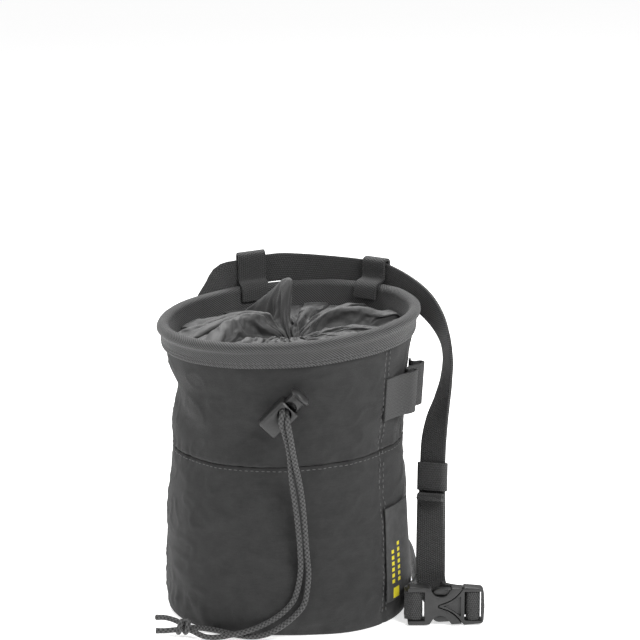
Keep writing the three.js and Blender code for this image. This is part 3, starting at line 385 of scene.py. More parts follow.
def pack_cloth():
    """Matte, tightly woven pack cloth, a little mottled and rubbed."""
    paint = Paint("pack cloth", "pack_cloth")
    vector, (u, v) = paint.cloth()
    threads = u.wave(0.62) * v.wave(0.62) + (1 - u.wave(0.62)) * (1 - v.wave(0.62))
    slub = paint.grain(paint.stretched(vector, (0.25, 1.4, 1)), 1.1, 3.0, 0.65)
    mottle = paint.grain(vector, 9.0, 4.0, 0.6)
    speck = paint.grain(vector, 0.55, 2.0, 0.7)
    shade = (0.5 * mottle + 0.3 * slub + 0.35 * speck).smooth(0.3, 0.85)
    color = paint.mixed(shade, grey(0.015), grey(0.032))
    crumple = paint.relief(paint.grain(vector, 8.0, 3.0, 0.5), 0.35)
    weave = paint.relief(0.55 * threads + 0.45 * slub, 0.12, crumple)
    paint.surface(Base_Color=color, Roughness=0.78 + 0.12 * slub, Normal=weave)
    paint.surface(Specular_IOR_Level=0.3, Sheen_Weight=0.06, Sheen_Roughness=0.5)
    return paint


def twill_tape():
    """The rim's binding tape, with its slanting twill lines."""
    paint = Paint("twill tape", "twill_tape")
    vector, (u, v) = paint.cloth()
    slant = (u * 0.8 + v).wave(1.25)
    fine = (u * 0.8 - v * 1.1).wave(0.5)
    worn = paint.grain(vector, 7.0, 3.0, 0.6)
    lines = slant.smooth(0.2, 0.8)
    color = paint.mixed((0.7 * lines + 0.4 * worn).smooth(0.2, 1.0), grey(0.01), grey(0.085))
    relief = paint.relief(0.85 * lines + 0.15 * fine, 0.4)
    paint.surface(Base_Color=color, Roughness=0.62, Normal=relief)
    paint.surface(Specular_IOR_Level=0.45, Sheen_Weight=0.15, Sheen_Roughness=0.4)
    return paint


def nylon():
    """The collar's thin, soft nylon, with painted shade in its crease hollows and painted highlight
    on their crests.
    """
    paint = Paint("collar nylon", "nylon")
    vector, (u, v) = paint.cloth()
    threads = u.wave(0.5) * v.wave(0.5) + (1 - u.wave(0.5)) * (1 - v.wave(0.5))
    # One crease noise gives the fold bump's height and, in the colour below, painted shade and
    # highlight
    crease_height_and_shade = paint.grain(paint.stretched(vector, (1, 0.35, 1)), 3.2, 5.0, 0.6)
    speck = paint.grain(vector, 0.8, 2.0, 0.6)
    # Colour: painted shade in the crease hollows and painted highlight on the crests, mixed with
    # random speckle
    color = paint.mixed((0.6 * crease_height_and_shade + 0.4 * speck).smooth(0.3, 0.8), grey(0.035), grey(0.065))
    folds = paint.relief(crease_height_and_shade, 0.45)
    weave = paint.relief(threads, 0.05, folds)
    paint.surface(Base_Color=color, Roughness=0.48 + 0.12 * speck, Normal=weave)
    paint.surface(Specular_IOR_Level=0.5, Sheen_Weight=0.2, Sheen_Roughness=0.35)
    return paint


def webbing(name="webbing", rib=0.95, column=1.15, low=0.016, high=0.06):
    """Flat webbing: ribs across, broken up by the lengthwise threads."""
    paint = Paint(name, "webbing")
    vector, (u, v) = paint.cloth()
    shift = ((v / column).floor() % 2) * (rib / 2)
    ribs = (u + shift).wave(rib)
    cords = v.wave(column)
    worn = paint.grain(vector, 4.0, 3.0, 0.6)
    speck = paint.grain(vector, 0.6, 2.0, 0.7)
    lines = (0.62 * ribs + 0.38 * cords).smooth(0.12, 0.9)
    tone = (0.75 * lines + 0.25 * worn + 0.25 * speck).smooth(0.15, 1.15)
    color = paint.mixed(tone, grey(low), grey(high))
    paint.surface(Base_Color=color, Roughness=0.7, Normal=paint.relief(lines, 0.3))
    paint.surface(Specular_IOR_Level=0.4, Sheen_Weight=0.1, Sheen_Roughness=0.45)
    return paint


def braid():
    """The cord's braided sheath: two sets of slanting strands."""
    paint = Paint("braided cord", "braid")
    vector, (u, v) = paint.cloth()
    around = v / (math.pi * CORD)
    left = (u / 2.3 + around * 4).wave(1.0)
    right = (u / 2.3 - around * 4).wave(1.0)
    over = left.smooth(0.2, 0.75) * 0.6 + right.smooth(0.2, 0.75) * 0.6
    fibre = paint.grain(vector, 0.35, 2.0, 0.7)
    tone = (0.8 * over + 0.3 * fibre).smooth(0.1, 1.1)
    color = paint.mixed(tone, grey(0.014), grey(0.085))
    paint.surface(Base_Color=color, Roughness=0.62, Normal=paint.relief(over, 0.35))
    paint.surface(Specular_IOR_Level=0.4, Sheen_Weight=0.1, Sheen_Roughness=0.4)
    return paint


def plastic():
    """Moulded plastic with a fine eroded face."""
    paint = Paint("moulded plastic", "plastic")
    vector = paint.place()
    erode = paint.grain(vector, 0.35, 2.0, 0.6)
    flow = paint.grain(vector, 6.0, 3.0, 0.5)
    color = paint.mixed((0.5 * erode + 0.5 * flow).smooth(0.3, 0.75), grey(0.014), grey(0.03))
    paint.surface(Base_Color=color, Roughness=0.3 + 0.2 * flow, Normal=paint.relief(erode, 0.05))
    paint.surface(Specular_IOR_Level=0.55)
    return paint


def thread():
    """Twisted sewing thread."""
    paint = Paint("sewing thread", "pack_cloth")
    vector = paint.place()
    fibre = paint.grain(vector, 0.3, 2.0, 0.6)
    color = paint.mixed(fibre, grey(0.04), grey(0.12))
    paint.surface(Base_Color=color, Roughness=0.6, Normal=paint.relief(fibre, 0.06))
    return paint


def tab_cloth():
    """The side tab's smooth tape, with two rows of plain yellow bars and a block."""
    paint = Paint("side tab", "label_cloth")
    vector, (u, v) = paint.cloth()
    threads = u.wave(0.5) * v.wave(0.7)
    mottle = paint.grain(vector, 5.0, 3.0, 0.6)
    shade = paint.mixed(mottle.smooth(0.3, 0.8), grey(0.03), grey(0.05))

    def within(value, low, high):
        return (value > low) * (value < high)

    dashes = v.wave(3.1) > 0.32
    rows = within(u, 4.0, 6.2) * within(v, 9.0, 26.5)
    rows = rows + within(u, 9.2, 11.4) * within(v, 9.0, 30.0)
    block = within(u, 5.0, 10.2) * within(v, 1.1, 6.5)
    ink = rows * dashes + block
    color = paint.mixed(ink, shade, (0.62, 0.53, 0.02))
    relief = paint.relief(0.6 * threads + 0.4 * mottle, 0.08)
    paint.surface(Base_Color=color, Roughness=0.7, Normal=relief)
    return paint


PACK_CLOTH = pack_cloth()
TWILL_TAPE = twill_tape()
NYLON = nylon()
WEBBING = webbing()
BRUSH_WEB = webbing("brush loop webbing", 0.8, 0.8, 0.03, 0.05)
BRAID = braid()
PLASTIC = plastic()
THREAD = thread()
TAB_CLOTH = tab_cloth()


# Making pieces


def finished(name, bm, paint, replaces=(), body="bag"):
    """An object of a bmesh, with its finish; it rides on a body."""
    for face in bm.faces:
        face.smooth = True
    mesh = bpy.data.meshes.new(name)
    bm.to_mesh(mesh)
    bm.free()
    made = bpy.data.objects.new(name, mesh)
    mesh.materials.append(paint.material)
    bpy.context.scene.collection.objects.link(made)
    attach(made, body)
    if replaces:
        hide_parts(*replaces)
    return made


def thicken(made, thick, offset=0.0, bevel=0.0):
    """Gives a sheet its thickness; offset -1 keeps its outer face where it is."""
    wall = made.modifiers.new("thickness", "SOLIDIFY")
    wall.thickness = thick * MM
    wall.offset = offset
    wall.use_even_offset = False
    if bevel:
        edge = made.modifiers.new("soft edge", "BEVEL")
        edge.width = bevel * MM
        edge.segments = 2
        edge.limit_method = "ANGLE"
        edge.angle_limit = math.radians(50)
    return made


def sheet(columns, rows, place, cloth, ring=False):
    """A grid of faces; place and cloth give each corner's point, and its place on the cut cloth."""
    bm = bmesh.new()
    uv = bm.loops.layers.uv.new(CLOTH_MAP)
    bmesh.ops.create_grid(bm, x_segments=columns, y_segments=rows, size=0.5)
    steps = {}
    for vert in bm.verts:
        steps[vert] = (round((vert.co.x + 0.5) * columns), round((vert.co.y + 0.5) * rows))
    for face in bm.faces:
        for loop in face.loops:
            loop[uv].uv = cloth(*steps[loop.vert])
    for vert, (i, j) in steps.items():
        vert.co = place(i, j) * MM
    if ring:
        bmesh.ops.remove_doubles(bm, verts=bm.verts, dist=1e-6)
    return bm


def closed_ends(bm):
    """Fills the open ends of a tube and turns all its faces outwards."""
    rims = [edge for edge in bm.edges if edge.is_boundary]
    caps = bmesh.ops.holes_fill(bm, edges=rims, sides=0)["faces"]
    bmesh.ops.poke(bm, faces=caps)
    bmesh.ops.recalc_face_normals(bm, faces=bm.faces)
    return bm


def framed(line, first=Vector((0, 0, 1))):
    """A frame at each point of a line, turned as little as may be: point, side, up."""
    frames, side = [], None
    for i, at in enumerate(line):
        along = (line[min(i + 1, len(line) - 1)] - line[max(i - 1, 0)]).normalized()
        if side is None:
            side = along.cross(first).normalized()
        side = (side - along * side.dot(along)).normalized()
        frames.append((at, side, along.cross(side)))
    return frames


def tube(line, radius, sides=14):
    """A round tube along points; radius is a number or one for each point."""
    frames = framed(line)
    run = [0.0]
    for a, b in zip(line, line[1:]):
        run.append(run[-1] + (b - a).length)

    def place(i, j):
        at, side, up = frames[i]
        angle = 2 * math.pi * j / sides
        size = radius[i] if isinstance(radius, list) else radius
        return at + side * (size * math.cos(angle)) + up * (size * math.sin(angle))

    bm = sheet(
        len(line) - 1,
        sides,
        place,
        lambda i, j: (run[i], 2 * math.pi * CORD / 2 * j / sides),
        ring=True,
    )
    return closed_ends(bm)


def strap(frames, width, columns=6, shape=None):
    """A flat strap along frames of a point, across and face."""
    run = [0.0]
    for a, b in zip(frames, frames[1:]):
        run.append(run[-1] + (b[0] - a[0]).length)

    def place(i, j):
        at, across, face = frames[i]
        share = j / columns - 0.5
        crown = shape(i, share) if shape else 0
        return at + across * (share * width) + face * crown

    return sheet(len(frames) - 1, columns, place, lambda i, j: (run[i], j / columns * width))


def softened(node, width, paint, body="bag", segments=2, angle=28):
    """A copy of a solid with its hard edges rounded off."""
    bm = bmesh.new()
    bm.from_mesh(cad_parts[node].data)
    bmesh.ops.remove_doubles(bm, verts=bm.verts, dist=2e-6)
    bmesh.ops.dissolve_limit(bm, angle_limit=math.radians(1.5), verts=bm.verts, edges=bm.edges)
    folds = [e for e in bm.edges if len(e.link_faces) == 2]
    sharp = [e for e in folds if e.calc_face_angle(0) > math.radians(angle)]
    bmesh.ops.bevel(
        bm,
        geom=sharp,
        offset=width * MM,
        affect="EDGES",
        segments=segments,
        profile=0.5,
        material=-1,
        clamp_overlap=True,
    )
    bm.loops.layers.uv.new(CLOTH_MAP)
    return finished(node + "_finish", bm, paint, (node,), body)


# The cords come first. Their routes are the part's own.
STRAND_RIGHT = [
    (-1.1, -72.3, 120.0),
    (-1.05, -74.6, 119.7),
    (-0.4, -75.9, 116.8),
    (0.7, -75.2, 110.4),
    (1.8, -73.7, 103.2),
    (3.0, -71.8, 96.2),
    (4.6, -69.9, 88.2),
    (6.1, -68.6, 78.8),
    (7.2, -67.7, 68.1),
    (8.0, -67.1, 57.5),
    (8.8, -66.7, 46.8),
    (9.6, -66.4, 37.2),
    (8.9, -66.5, 28.4),
    (7.2, -66.6, 20.6),
    (1.2, -66.3, 13.2),
    (-5.8, -65.2, 7.4),
    (-12.0, -63.6, 3.7),
    (-18.4, -61.6, 1.9),
    (-26.6, -58.2, 1.55),
    (-35.4, -52.6, 1.6),
    (-43.0, -49.6, 1.9),
    (-49.0, -53.5, 3.95),
]
STRAND_LEFT = [
    (-3.3, -72.3, 122.2),
    (-3.4, -74.7, 121.8),
    (-3.8, -75.1, 118.2),
    (-2.2, -73.0, 111.6),
    (-0.4, -71.1, 103.8),
    (0.6, -69.5, 95.4),
    (1.2, -68.7, 86.4),
    (2.3, -68.2, 78.6),
    (3.7, -67.8, 68.0),
    (4.7, -67.4, 58.2),
    (5.4, -67.0, 49.2),
    (5.7, -66.7, 40.2),
    (4.6, -66.1, 30.8),
    (2.2, -66.0, 23.0),
    (-2.4, -65.6, 17.0),
    (-8.4, -64.2, 11.8),
    (-14.4, -63.0, 8.1),
    (-20.6, -62.6, 5.4),
    (-28.0, -62.6, 3.5),
    (-35.8, -61.8, 1.8),
    (-42.6, -60.6, 1.7),
    (-49.0, -57.9, 3.7),
]
INNER_RIGHT = [
    (-1.1, -71.8, 120.0),
    (-1.1, -66, 120.0),
    (-1.1, -60, 120.0),
    (-0.7, -55, 120.6),
    (0.2, -40, 124.8),
    (1.0, -20, 132),
    (1.8, -6, 138.0),
]
INNER_LEFT = [
    (-3.3, -71.8, 122.2),
    (-3.3, -66, 122.2),
    (-3.3, -60, 122.2),
    (-3.2, -55, 122.6),
    (-3.0, -40, 125.8),
    (-2.6, -20, 132.4),
    (-1.6, -6, 138.0),
]
KNOT_AT = vec(-53.4, -55.2, 5.0)
TAILS = [
    [(-54.0, -54.6, 6.2), (-58.6, -51.0, 7.2), (-63.4, -47.6, 7.2), (-67.6, -45.2, 6.4)],
    [(-54.0, -56.4, 4.2), (-58.6, -57.0, 4.0), (-63.2, -57.0, 3.6), (-67.2, -56.2, 3.3)],
]


def cord_knot():
    """An overhand knot drawn tight: two wraps round the strands, and two cut tails."""
    bm = bmesh.new()
    wraps = []
    for start, lean in ((-1.9, 0.5), (1.3, -0.45)):
        points = []
        for i in range(13):
            angle = 2 * math.pi * i / 12
            drift = start + 0.8 * math.sin(angle) + 0.25 * i / 12
            points.append(
                KNOT_AT
                + vec(drift + lean * math.cos(angle), 3.2 * math.cos(angle), 2.7 * math.sin(angle))
            )
        wraps.append(points)
    pieces = [tube(Line(points).spaced(0.6), CORD / 2, 12) for points in wraps]
    for tail in TAILS:
        line = Line([KNOT_AT + vec(1.5, 0, 0)] + [Vector(p) for p in tail]).spaced(0.7)
        last = len(line) - 1
        radii = [CORD / 2 * (1 + 0.1 * max(0, 1 - (last - i) / 3)) for i in range(last + 1)]
        pieces.append(tube(line, radii, 12))
    for end in (STRAND_RIGHT[-1], STRAND_LEFT[-1]):
        stub = [KNOT_AT + vec(-0.5, 0, 0), KNOT_AT.lerp(Vector(end), 0.6), Vector(end)]
        pieces.append(tube(Line(stub).spaced(0.7), CORD / 2 * 0.97, 12))
    for piece in pieces:
        mesh = bpy.data.meshes.new("knot_part")
        piece.to_mesh(mesh)
        piece.free()
        bm.from_mesh(mesh)
        bpy.data.meshes.remove(mesh)
    return finished("cord_knot_finish", bm, BRAID, ("cord_knot",))


def drawcords():
    knot = cord_knot()
    for side, route in (("right", STRAND_RIGHT), ("left", STRAND_LEFT)):
        line = Line(route)
        path = line.spaced(0.9)
        node = "drawcord_" + side
        made = finished(node + "_finish", tube(path, CORD / 2), BRAID, (node,))
        path[0] * MM
        [p * MM for p in path]
    for side, route in (("right", INNER_RIGHT), ("left", INNER_LEFT)):
        node = "drawcord_inner_" + side
        finished(node + "_finish", tube(Line(route).spaced(1.2), CORD / 2), BRAID, (node,))


drawcords()


# The bag's wall: share of the rim's height, radius and sideways shift as shares of the body's
WALL = [
    (0.0, 0.985, -0.012),
    (0.01, 0.996, -0.014),
    (0.033, 1.0, -0.016),
    (0.079, 1.002, -0.016),
    (0.2, 1.0, -0.016),
    (0.33, 0.985, -0.016),
    (0.46, 0.965, -0.016),
    (0.59, 0.947, -0.004),
    (0.69, 0.947, 0.004),
    (0.77, 0.954, 0.008),
    (0.83, 0.963, 0.008),
    (0.89, 0.986, 0),
    (0.94, 1.006, 0),
    (0.98, 1.02, 0),
]
# Dents: turn, height share, how wide, how tall, slant, depth share
DENTS = [
    (180, 0.79, 26, 0.055, 60, 0.052),
    (205, 0.72, 16, 0.05, -150, 0.028),
    (222, 0.83, 14, 0.05, 0, 0.014),
    (255, 0.36, 8, 0.3, 10, 0.014),
    (268, 0.69, 11, 0.08, 20, 0.016),
    (296, 0.78, 12, 0.05, -90, 0.012),
    (330, 0.61, 22, 0.06, 40, 0.014),
    (308, 0.2, 14, 0.08, 90, 0.012),
    (238, 0.1, 7, 0.07, 40, 0.016),
    (285, 0.06, 7, 0.06, -30, 0.014),
    (270, -0.01, 32, 0.06, 0, 0.12),
    (40, 0.7, 24, 0.09, 60, 0.024),
    (100, 0.55, 20, 0.12, -50, 0.022),
    (140, 0.3, 16, 0.15, 30, 0.016),
    (75, 0.2, 14, 0.1, 60, 0.016),
]


def dent(turn, height):
    total = 0
    for middle, level, wide, tall, slant, depth in DENTS:
        rise = height - level
        away = turn_between(turn, middle + slant * rise)
        total += depth * math.exp(-((away / wide) ** 2) - (rise / tall) ** 2)
    return total


def tilted(x, y, z):
    return vec(x, y, z + RIM_TILT * x * z / RIM_HEIGHT)


def wall_radius(z):
    return BODY_RADIUS * read(WALL, z / RIM_HEIGHT)[0]


def on_wall(turn, z, out=0.0):
    share = z / RIM_HEIGHT
    edge, shift = read(WALL, share)
    r = BODY_RADIUS * (edge - dent(turn, share)) + out
    a = math.radians(turn)
    return tilted(BODY_RADIUS * shift + r * math.cos(a), r * math.sin(a), z)


def crumple(turn, z):
    """The cloth's small folds and puckers: how far a place stands out, in mm."""
    a = math.radians(turn)
    p = vec(60 * math.cos(a), 60 * math.sin(a), z)
    broad = noise.noise(p / 24) * 1.3
    small = noise.noise(p / 10 + vec(5, 2, 9)) * 0.18
    ridge = 1 - abs(noise.noise(vec(p.x, p.y, p.z * 1.7) / 15 + vec(31, 7, 3)))
    ridge = max(0, ridge - 0.84) * 3.0
    pucker = noise.noise(vec(turn / 3.1, z / 9, 4)) * 0.6
    near_seam = math.exp(-(((z - SEAM_HEIGHT) / 6) ** 2))
    near_side = math.exp(-((turn_between(turn, SIDE_SEAM) / 5) ** 2))
    along_side = noise.noise(vec(turn / 9, z / 4.6, 17)) * 0.8
    near_foot = math.exp(-(((z - 9) / 9) ** 2))
    foot = noise.noise(vec(turn / 5.2, z / 14, 27)) * 1.3
    calm = min(1, z / 4) * min(1, max(0, (RIM_HEIGHT - 6 - z) / 12) + 0.15)
    total = broad + small + ridge + pucker * near_seam + along_side * near_side + foot * near_foot
    seam = -0.4 * math.exp(-(((z - SEAM_HEIGHT) / 0.6) ** 2))
    side = -0.6 * math.exp(-((turn_between(turn, SIDE_SEAM) * 1.05 / 0.8) ** 2))
    return total * calm + seam + side


WALL_COLUMNS = 300


def wall(name, heights, paint, replaces):
    def place(i, j):
        turn = 90 + 360 * i / WALL_COLUMNS
        z = heights[j]
        return on_wall(turn, z, crumple(turn, z))

    def cloth(i, j):
        return (2 * math.pi * 60 * i / WALL_COLUMNS, heights[j])

    bm = sheet(WALL_COLUMNS, len(heights) - 1, place, cloth, ring=True)
    eyelet = vec(LOCK_X, -60, LOCK_Z) * MM
    near = [f for f in bm.faces if (f.calc_center_median() - eyelet).length < 4.2 * MM]
    bmesh.ops.delete(bm, geom=near, context="FACES")
    bmesh.ops.recalc_face_normals(bm, faces=bm.faces)
    outside = sum(f.normal.dot(f.calc_center_median() * Vector((1, 1, 0))) for f in bm.faces)
    if outside < 0:
        bmesh.ops.reverse_faces(bm, faces=bm.faces)
    return thicken(finished(name, bm, paint, replaces), CLOTH, -1)


def spread(low, high, step):
    count = round((high - low) / step)
    return [low + (high - low) * i / count for i in range(count + 1)]


def bag_walls():
    foot = [0, 0.35, 0.8, 1.5, 2.4, 3.6, 5, 6.6, 8.4]
    lower = foot + spread(10.2, SEAM_HEIGHT - 0.15, 1.35)
    wall("lower_panel_finish", lower, PACK_CLOTH, ("lower_panel",))
    upper = spread(SEAM_HEIGHT + 0.15, WALL_TOP, 1.35)
    wall("upper_panel_finish", upper, PACK_CLOTH, ("upper_panel",))


def base():
    """The round bottom panel, a flat sheet of cloth."""
    rings = [0.4, 12, 24, 36, 44, 49, 52.5, FLAT_RADIUS - GAP]

    def place(i, j):
        a = 2 * math.pi * i / 96
        limp = 0.25 * (1 - (rings[j] / FLAT_RADIUS) ** 6)
        return vec(rings[j] * math.cos(a), rings[j] * math.sin(a), limp)

    def cloth(i, j):
        a = 2 * math.pi * i / 96
        return (rings[j] * math.cos(a), rings[j] * math.sin(a))

    bm = sheet(96, len(rings) - 1, place, cloth, ring=True)
    middle = [e for e in bm.edges if e.is_boundary and e.verts[0].co.xy.length < 1 * MM]
    bmesh.ops.holes_fill(bm, edges=middle, sides=0)
    bmesh.ops.recalc_face_normals(bm, faces=bm.faces)
    if bm.faces[0].normal.z > 0:
        bmesh.ops.reverse_faces(bm, faces=bm.faces)
    thicken(finished("base_panel_finish", bm, PACK_CLOTH, ("base_panel",)), CLOTH - 0.4, -1)


def rim_profile():
    """The binding's outer line, from the band's lower edge over the roll and down inside."""
    drops = [RIM_BAND, RIM_BAND * 0.75, RIM_BAND / 2, RIM_BAND / 4]
    line = [(wall_radius(RIM_HEIGHT - d) + BINDING + GAP, -d) for d in drops]
    for angle in range(-20, 191, 15):
        a = math.radians(angle)
        line.append((RIM_RADIUS + RIM_ROLL * math.cos(a), 0.3 + RIM_ROLL * math.sin(a)))
    leg = CLOTH + GAP + BINDING
    for d in reversed(drops[:3]):
        line.append((wall_radius(RIM_HEIGHT - d) - leg, -d))
    return [Vector((r, 0, z)) for r, z in line]


RIM_COLUMNS = 320


def rim_point(turn, r, z):
    limp = BODY_RADIUS * dent(turn, (RIM_HEIGHT + min(z, 0)) / RIM_HEIGHT)
    a = math.radians(turn)
    wave = 0.35 * noise.noise(vec(math.cos(a) * 3.2, math.sin(a) * 3.2, 8))
    return tilted(
        (r - limp + wave) * math.cos(a), (r - limp + wave) * math.sin(a), RIM_HEIGHT + z + wave
    )


def rim():
    line = Line(rim_profile()).spaced(0.75)
    run = [0.0]
    for a, b in zip(line, line[1:]):
        run.append(run[-1] + (b - a).length)

    def place(i, j):
        return rim_point(90 + 360 * i / RIM_COLUMNS, line[j].x, line[j].z)

    def cloth(i, j):
        return (2 * math.pi * RIM_RADIUS * i / RIM_COLUMNS, run[j])

    bm = sheet(RIM_COLUMNS, len(line) - 1, place, cloth, ring=True)
    bmesh.ops.recalc_face_normals(bm, faces=bm.faces)
    crest = max(bm.faces, key=lambda f: f.calc_center_median().z)
    if crest.normal.z < 0:
        bmesh.ops.reverse_faces(bm, faces=bm.faces)
    made = finished("rim_binding_finish", bm, TWILL_TAPE, ("rim_binding",))
    thicken(made, BINDING, -1, 0.3)


bag_walls()
base()
rim()


# The gathered collar is a short sleeve of thin cloth, drawn shut. Its lobes, one after the
# other round its mouth: width at the mouth in degrees, cloth taken up in mm, how much of its
# full height it has by the mouth, half way and by the rim, and how far it leans over.
COLLAR_CUT = (400, 62)
MOUTH = vec(1.8, -6, 0)
LOBES_FROM = -16
LOBES = [
    (24, 26, 0.5, 0.65, 0.6, 0.2),
    (30, 35, 0.5, 1.0, 1.15, -0.55),
    (24, 28, 0.6, 0.9, 0.9, 0.3),
    (20, 26, 0.6, 0.85, 0.85, -0.2),
    (34, 56, 1.05, 1.08, 0.35, -0.3),
    (26, 33, 0.9, 1.0, 1.0, -0.35),
    (24, 33, 0.75, 1.05, 1.1, -0.3),
    (32, 40, 0.8, 1.05, 1.1, -0.35),
    (26, 26, 0.5, 0.65, 0.9, 0.2),
    (28, 25, 0.5, 0.6, 0.8, -0.2),
    (28, 24, 0.5, 0.55, 0.7, 0.2),
    (28, 24, 0.5, 0.6, 0.7, -0.1),
    (32, 26, 0.5, 0.6, 0.7, 0.25),
]
LOBE_NECK = 1.15
COLLAR_FLOOR = [(0, -0.09), (0.12, -0.075), (0.4, -0.055), (0.75, -0.045), (1, -0.06)]
MOUTH_SHARE = 0.05
LOBE_COLUMNS = 22
COLLAR_ROWS = 38
SETTLE_FRAMES = 15
SETTLE_CAP = 5
CLOTH_GROWTH = 0.03
CLOTH_PRESSURE = 1.5


def lobe_point(width, height, share):
    """A lobe's section: how far across and how high."""
    across = width * (share + LOBE_NECK * math.sin(4 * math.pi * share) / (4 * math.pi))
    return across, height * (1 - math.cos(2 * math.pi * share)) / 2


def lobe_height(width, cloth):
    """How high a lobe stands when its section takes up its cloth."""
    low, high = 0.0, cloth / 2
    for _ in range(16):
        middle = (low + high) / 2
        section = [lobe_point(width, middle, i / 20) for i in range(21)]
        length = sum(math.dist(a, b) for a, b in zip(section, section[1:]))
        low, high = (middle, high) if length < cloth else (low, middle)
    return low


def lobe_edges(column):
    """Where the lobes start round the bag, in degrees."""
    edges = [LOBES_FROM]
    for lobe in LOBES:
        edges.append(edges[-1] + lobe[column])
    scale = 360 / (edges[-1] - edges[0])
    return [LOBES_FROM + (edge - LOBES_FROM) * scale for edge in edges]


def collar_radius():
    return wall_radius(RIM_HEIGHT - RIM_BAND) - CLOTH - GAP - BINDING - 1.6 * GAP


def collar_row(share):
    """One ring of the collar's cloth, at a share of the way from its mouth to the rim."""
    by_mouth, by_rim = lobe_edges(0), lobe_edges(1)
    drift = share * share * (3 - 2 * share)
    edges = [a + (b - a) * drift for a, b in zip(by_mouth, by_rim)]
    radius = collar_radius() * share
    floor = RIM_HEIGHT * (1 + read(COLLAR_FLOOR, share)[0])
    calm = min(1, max(0, (share - 0.03) / 0.16))
    calm = calm * calm * (3 - 2 * calm)
    ring = []
    for k, (_, cloth, early, middle, late, lean) in enumerate(LOBES):
        width = radius * math.radians(edges[k + 1] - edges[k])
        full = read([(0, early), (0.45, middle), (1, late)], share)[0]
        height = lobe_height(width, cloth) * full * calm
        for step in range(LOBE_COLUMNS):
            across, up = lobe_point(width, height, step / LOBE_COLUMNS)
            across += lean * share * up * up / max(height, 1)
            turn = edges[k] + math.degrees(across / radius)
            a = math.radians(turn)
            limp = BODY_RADIUS * dent(turn, 0.94) * share
            ripple = noise.noise(vec(k * 7.3 + step / 9, share * 5, 3)) * 1.3 * calm
            r = radius - limp + noise.noise(vec(k * 3.1 + step / 7, share * 4, 11)) * calm
            at = tilted(r * math.cos(a), r * math.sin(a), floor + up + ripple * (1 - share))
            ring.append(at + MOUTH * (1 - share) ** 2)
    return ring


def settle(made, held, frames, growth, pressure, cap):
    """Lets a cloth settle into its own folds; no point moves further than cap, in mm."""
    first = [vert.co.copy() for vert in made.data.vertices]
    pins = made.vertex_groups.new(name="held")
    for index, weight in held.items():
        pins.add([index], weight, "REPLACE")
    cloth = made.modifiers.new("settling", "CLOTH")
    set_up = cloth.settings
    set_up.quality = 4
    set_up.mass = 0.15
    set_up.tension_stiffness = 12
    set_up.compression_stiffness = 12
    set_up.shear_stiffness = 4
    set_up.bending_stiffness = 0.25
    set_up.vertex_group_mass = "held"
    set_up.shrink_min = -growth
    set_up.use_pressure = True
    set_up.uniform_pressure_force = pressure
    set_up.effector_weights.gravity = 0
    cloth.collision_settings.use_self_collision = True
    cloth.collision_settings.self_distance_min = 0.7 * MM
    cloth.point_cache.frame_start = 1
    cloth.point_cache.frame_end = frames
    for number in range(1, frames + 1):
        bpy.context.scene.frame_set(number)
    still = made.evaluated_get(bpy.context.evaluated_depsgraph_get())
    last = [vert.co.copy() for vert in still.to_mesh().vertices]
    still.to_mesh_clear()
    made.modifiers.remove(cloth)
    made.vertex_groups.remove(pins)
    for vert, start, end in zip(made.data.vertices, first, last):
        move = end - start
        if move.length > cap * MM:
            move = move * (cap * MM / move.length)
        vert.co = start + move
    bpy.context.scene.frame_set(1)


def collar():
    shares = [MOUTH_SHARE + (1 - MOUTH_SHARE) * j / COLLAR_ROWS for j in range(COLLAR_ROWS + 1)]
    rings = [collar_row(share) for share in shares]
    columns = LOBE_COLUMNS * len(LOBES)

    def place(i, j):
        return rings[j][i % columns]

    def cloth(i, j):
        return (COLLAR_CUT[0] * i / columns, COLLAR_CUT[1] * j / COLLAR_ROWS)

    bm = sheet(columns, COLLAR_ROWS, place, cloth, ring=True)
    bmesh.ops.recalc_face_normals(bm, faces=bm.faces)
    if sum(f.normal.z * f.calc_area() for f in bm.faces) < 0:
        bmesh.ops.reverse_faces(bm, faces=bm.faces)
    bm.verts.ensure_lookup_table()
    held = {}
    for vert in bm.verts:
        flat = (vert.co - MOUTH * MM).xy.length / MM
        if vert.is_boundary:
            held[vert.index] = 1.0
        elif flat < 7:
            held[vert.index] = 0.6
    made = finished("collar_finish", bm, NYLON, ("collar",))
    settle(made, held, SETTLE_FRAMES, CLOTH_GROWTH, CLOTH_PRESSURE, SETTLE_CAP)
    smooth = made.modifiers.new("smooth", "SUBSURF")
    smooth.levels = smooth.render_levels = 1
    thicken(made, 0.4, -1)


collar()


# Webbing. Places are shares of the rim's radius and height, then the way one edge points.
BELT_HIDDEN = [
    (1.03, 0.34, 0.053, 0, 0, -1),
    (1.0, 0.76, 0.052, 0, 0, -1),
    (0.86, 1.26, 0.052, 0, 0, -1),
    (0.54, 1.7, 0.052, 0, 0, -1),
    (0.08, 1.92, 0.052, 0, 0, -1),
    (-0.38, 1.86, 0.054, -0.1, -0.1, -1),
    (-0.64, 1.64, 0.075, -0.4, -0.4, -0.85),
    (-0.73, 1.4, 0.16, -0.75, -0.4, -0.5),
    (-0.75, 1.22, 0.32, -0.95, -0.3, -0.12),
    (-0.74, 1.1, 0.55, -0.97, -0.22, 0),
    (-0.72, 1.02, 0.78, -0.95, -0.2, 0.2),
    (-0.68, 0.97, 0.92, -0.85, 0.05, 0.5),
    (-0.59, 0.99, 0.99, -0.55, 0.05, 0.8),
]
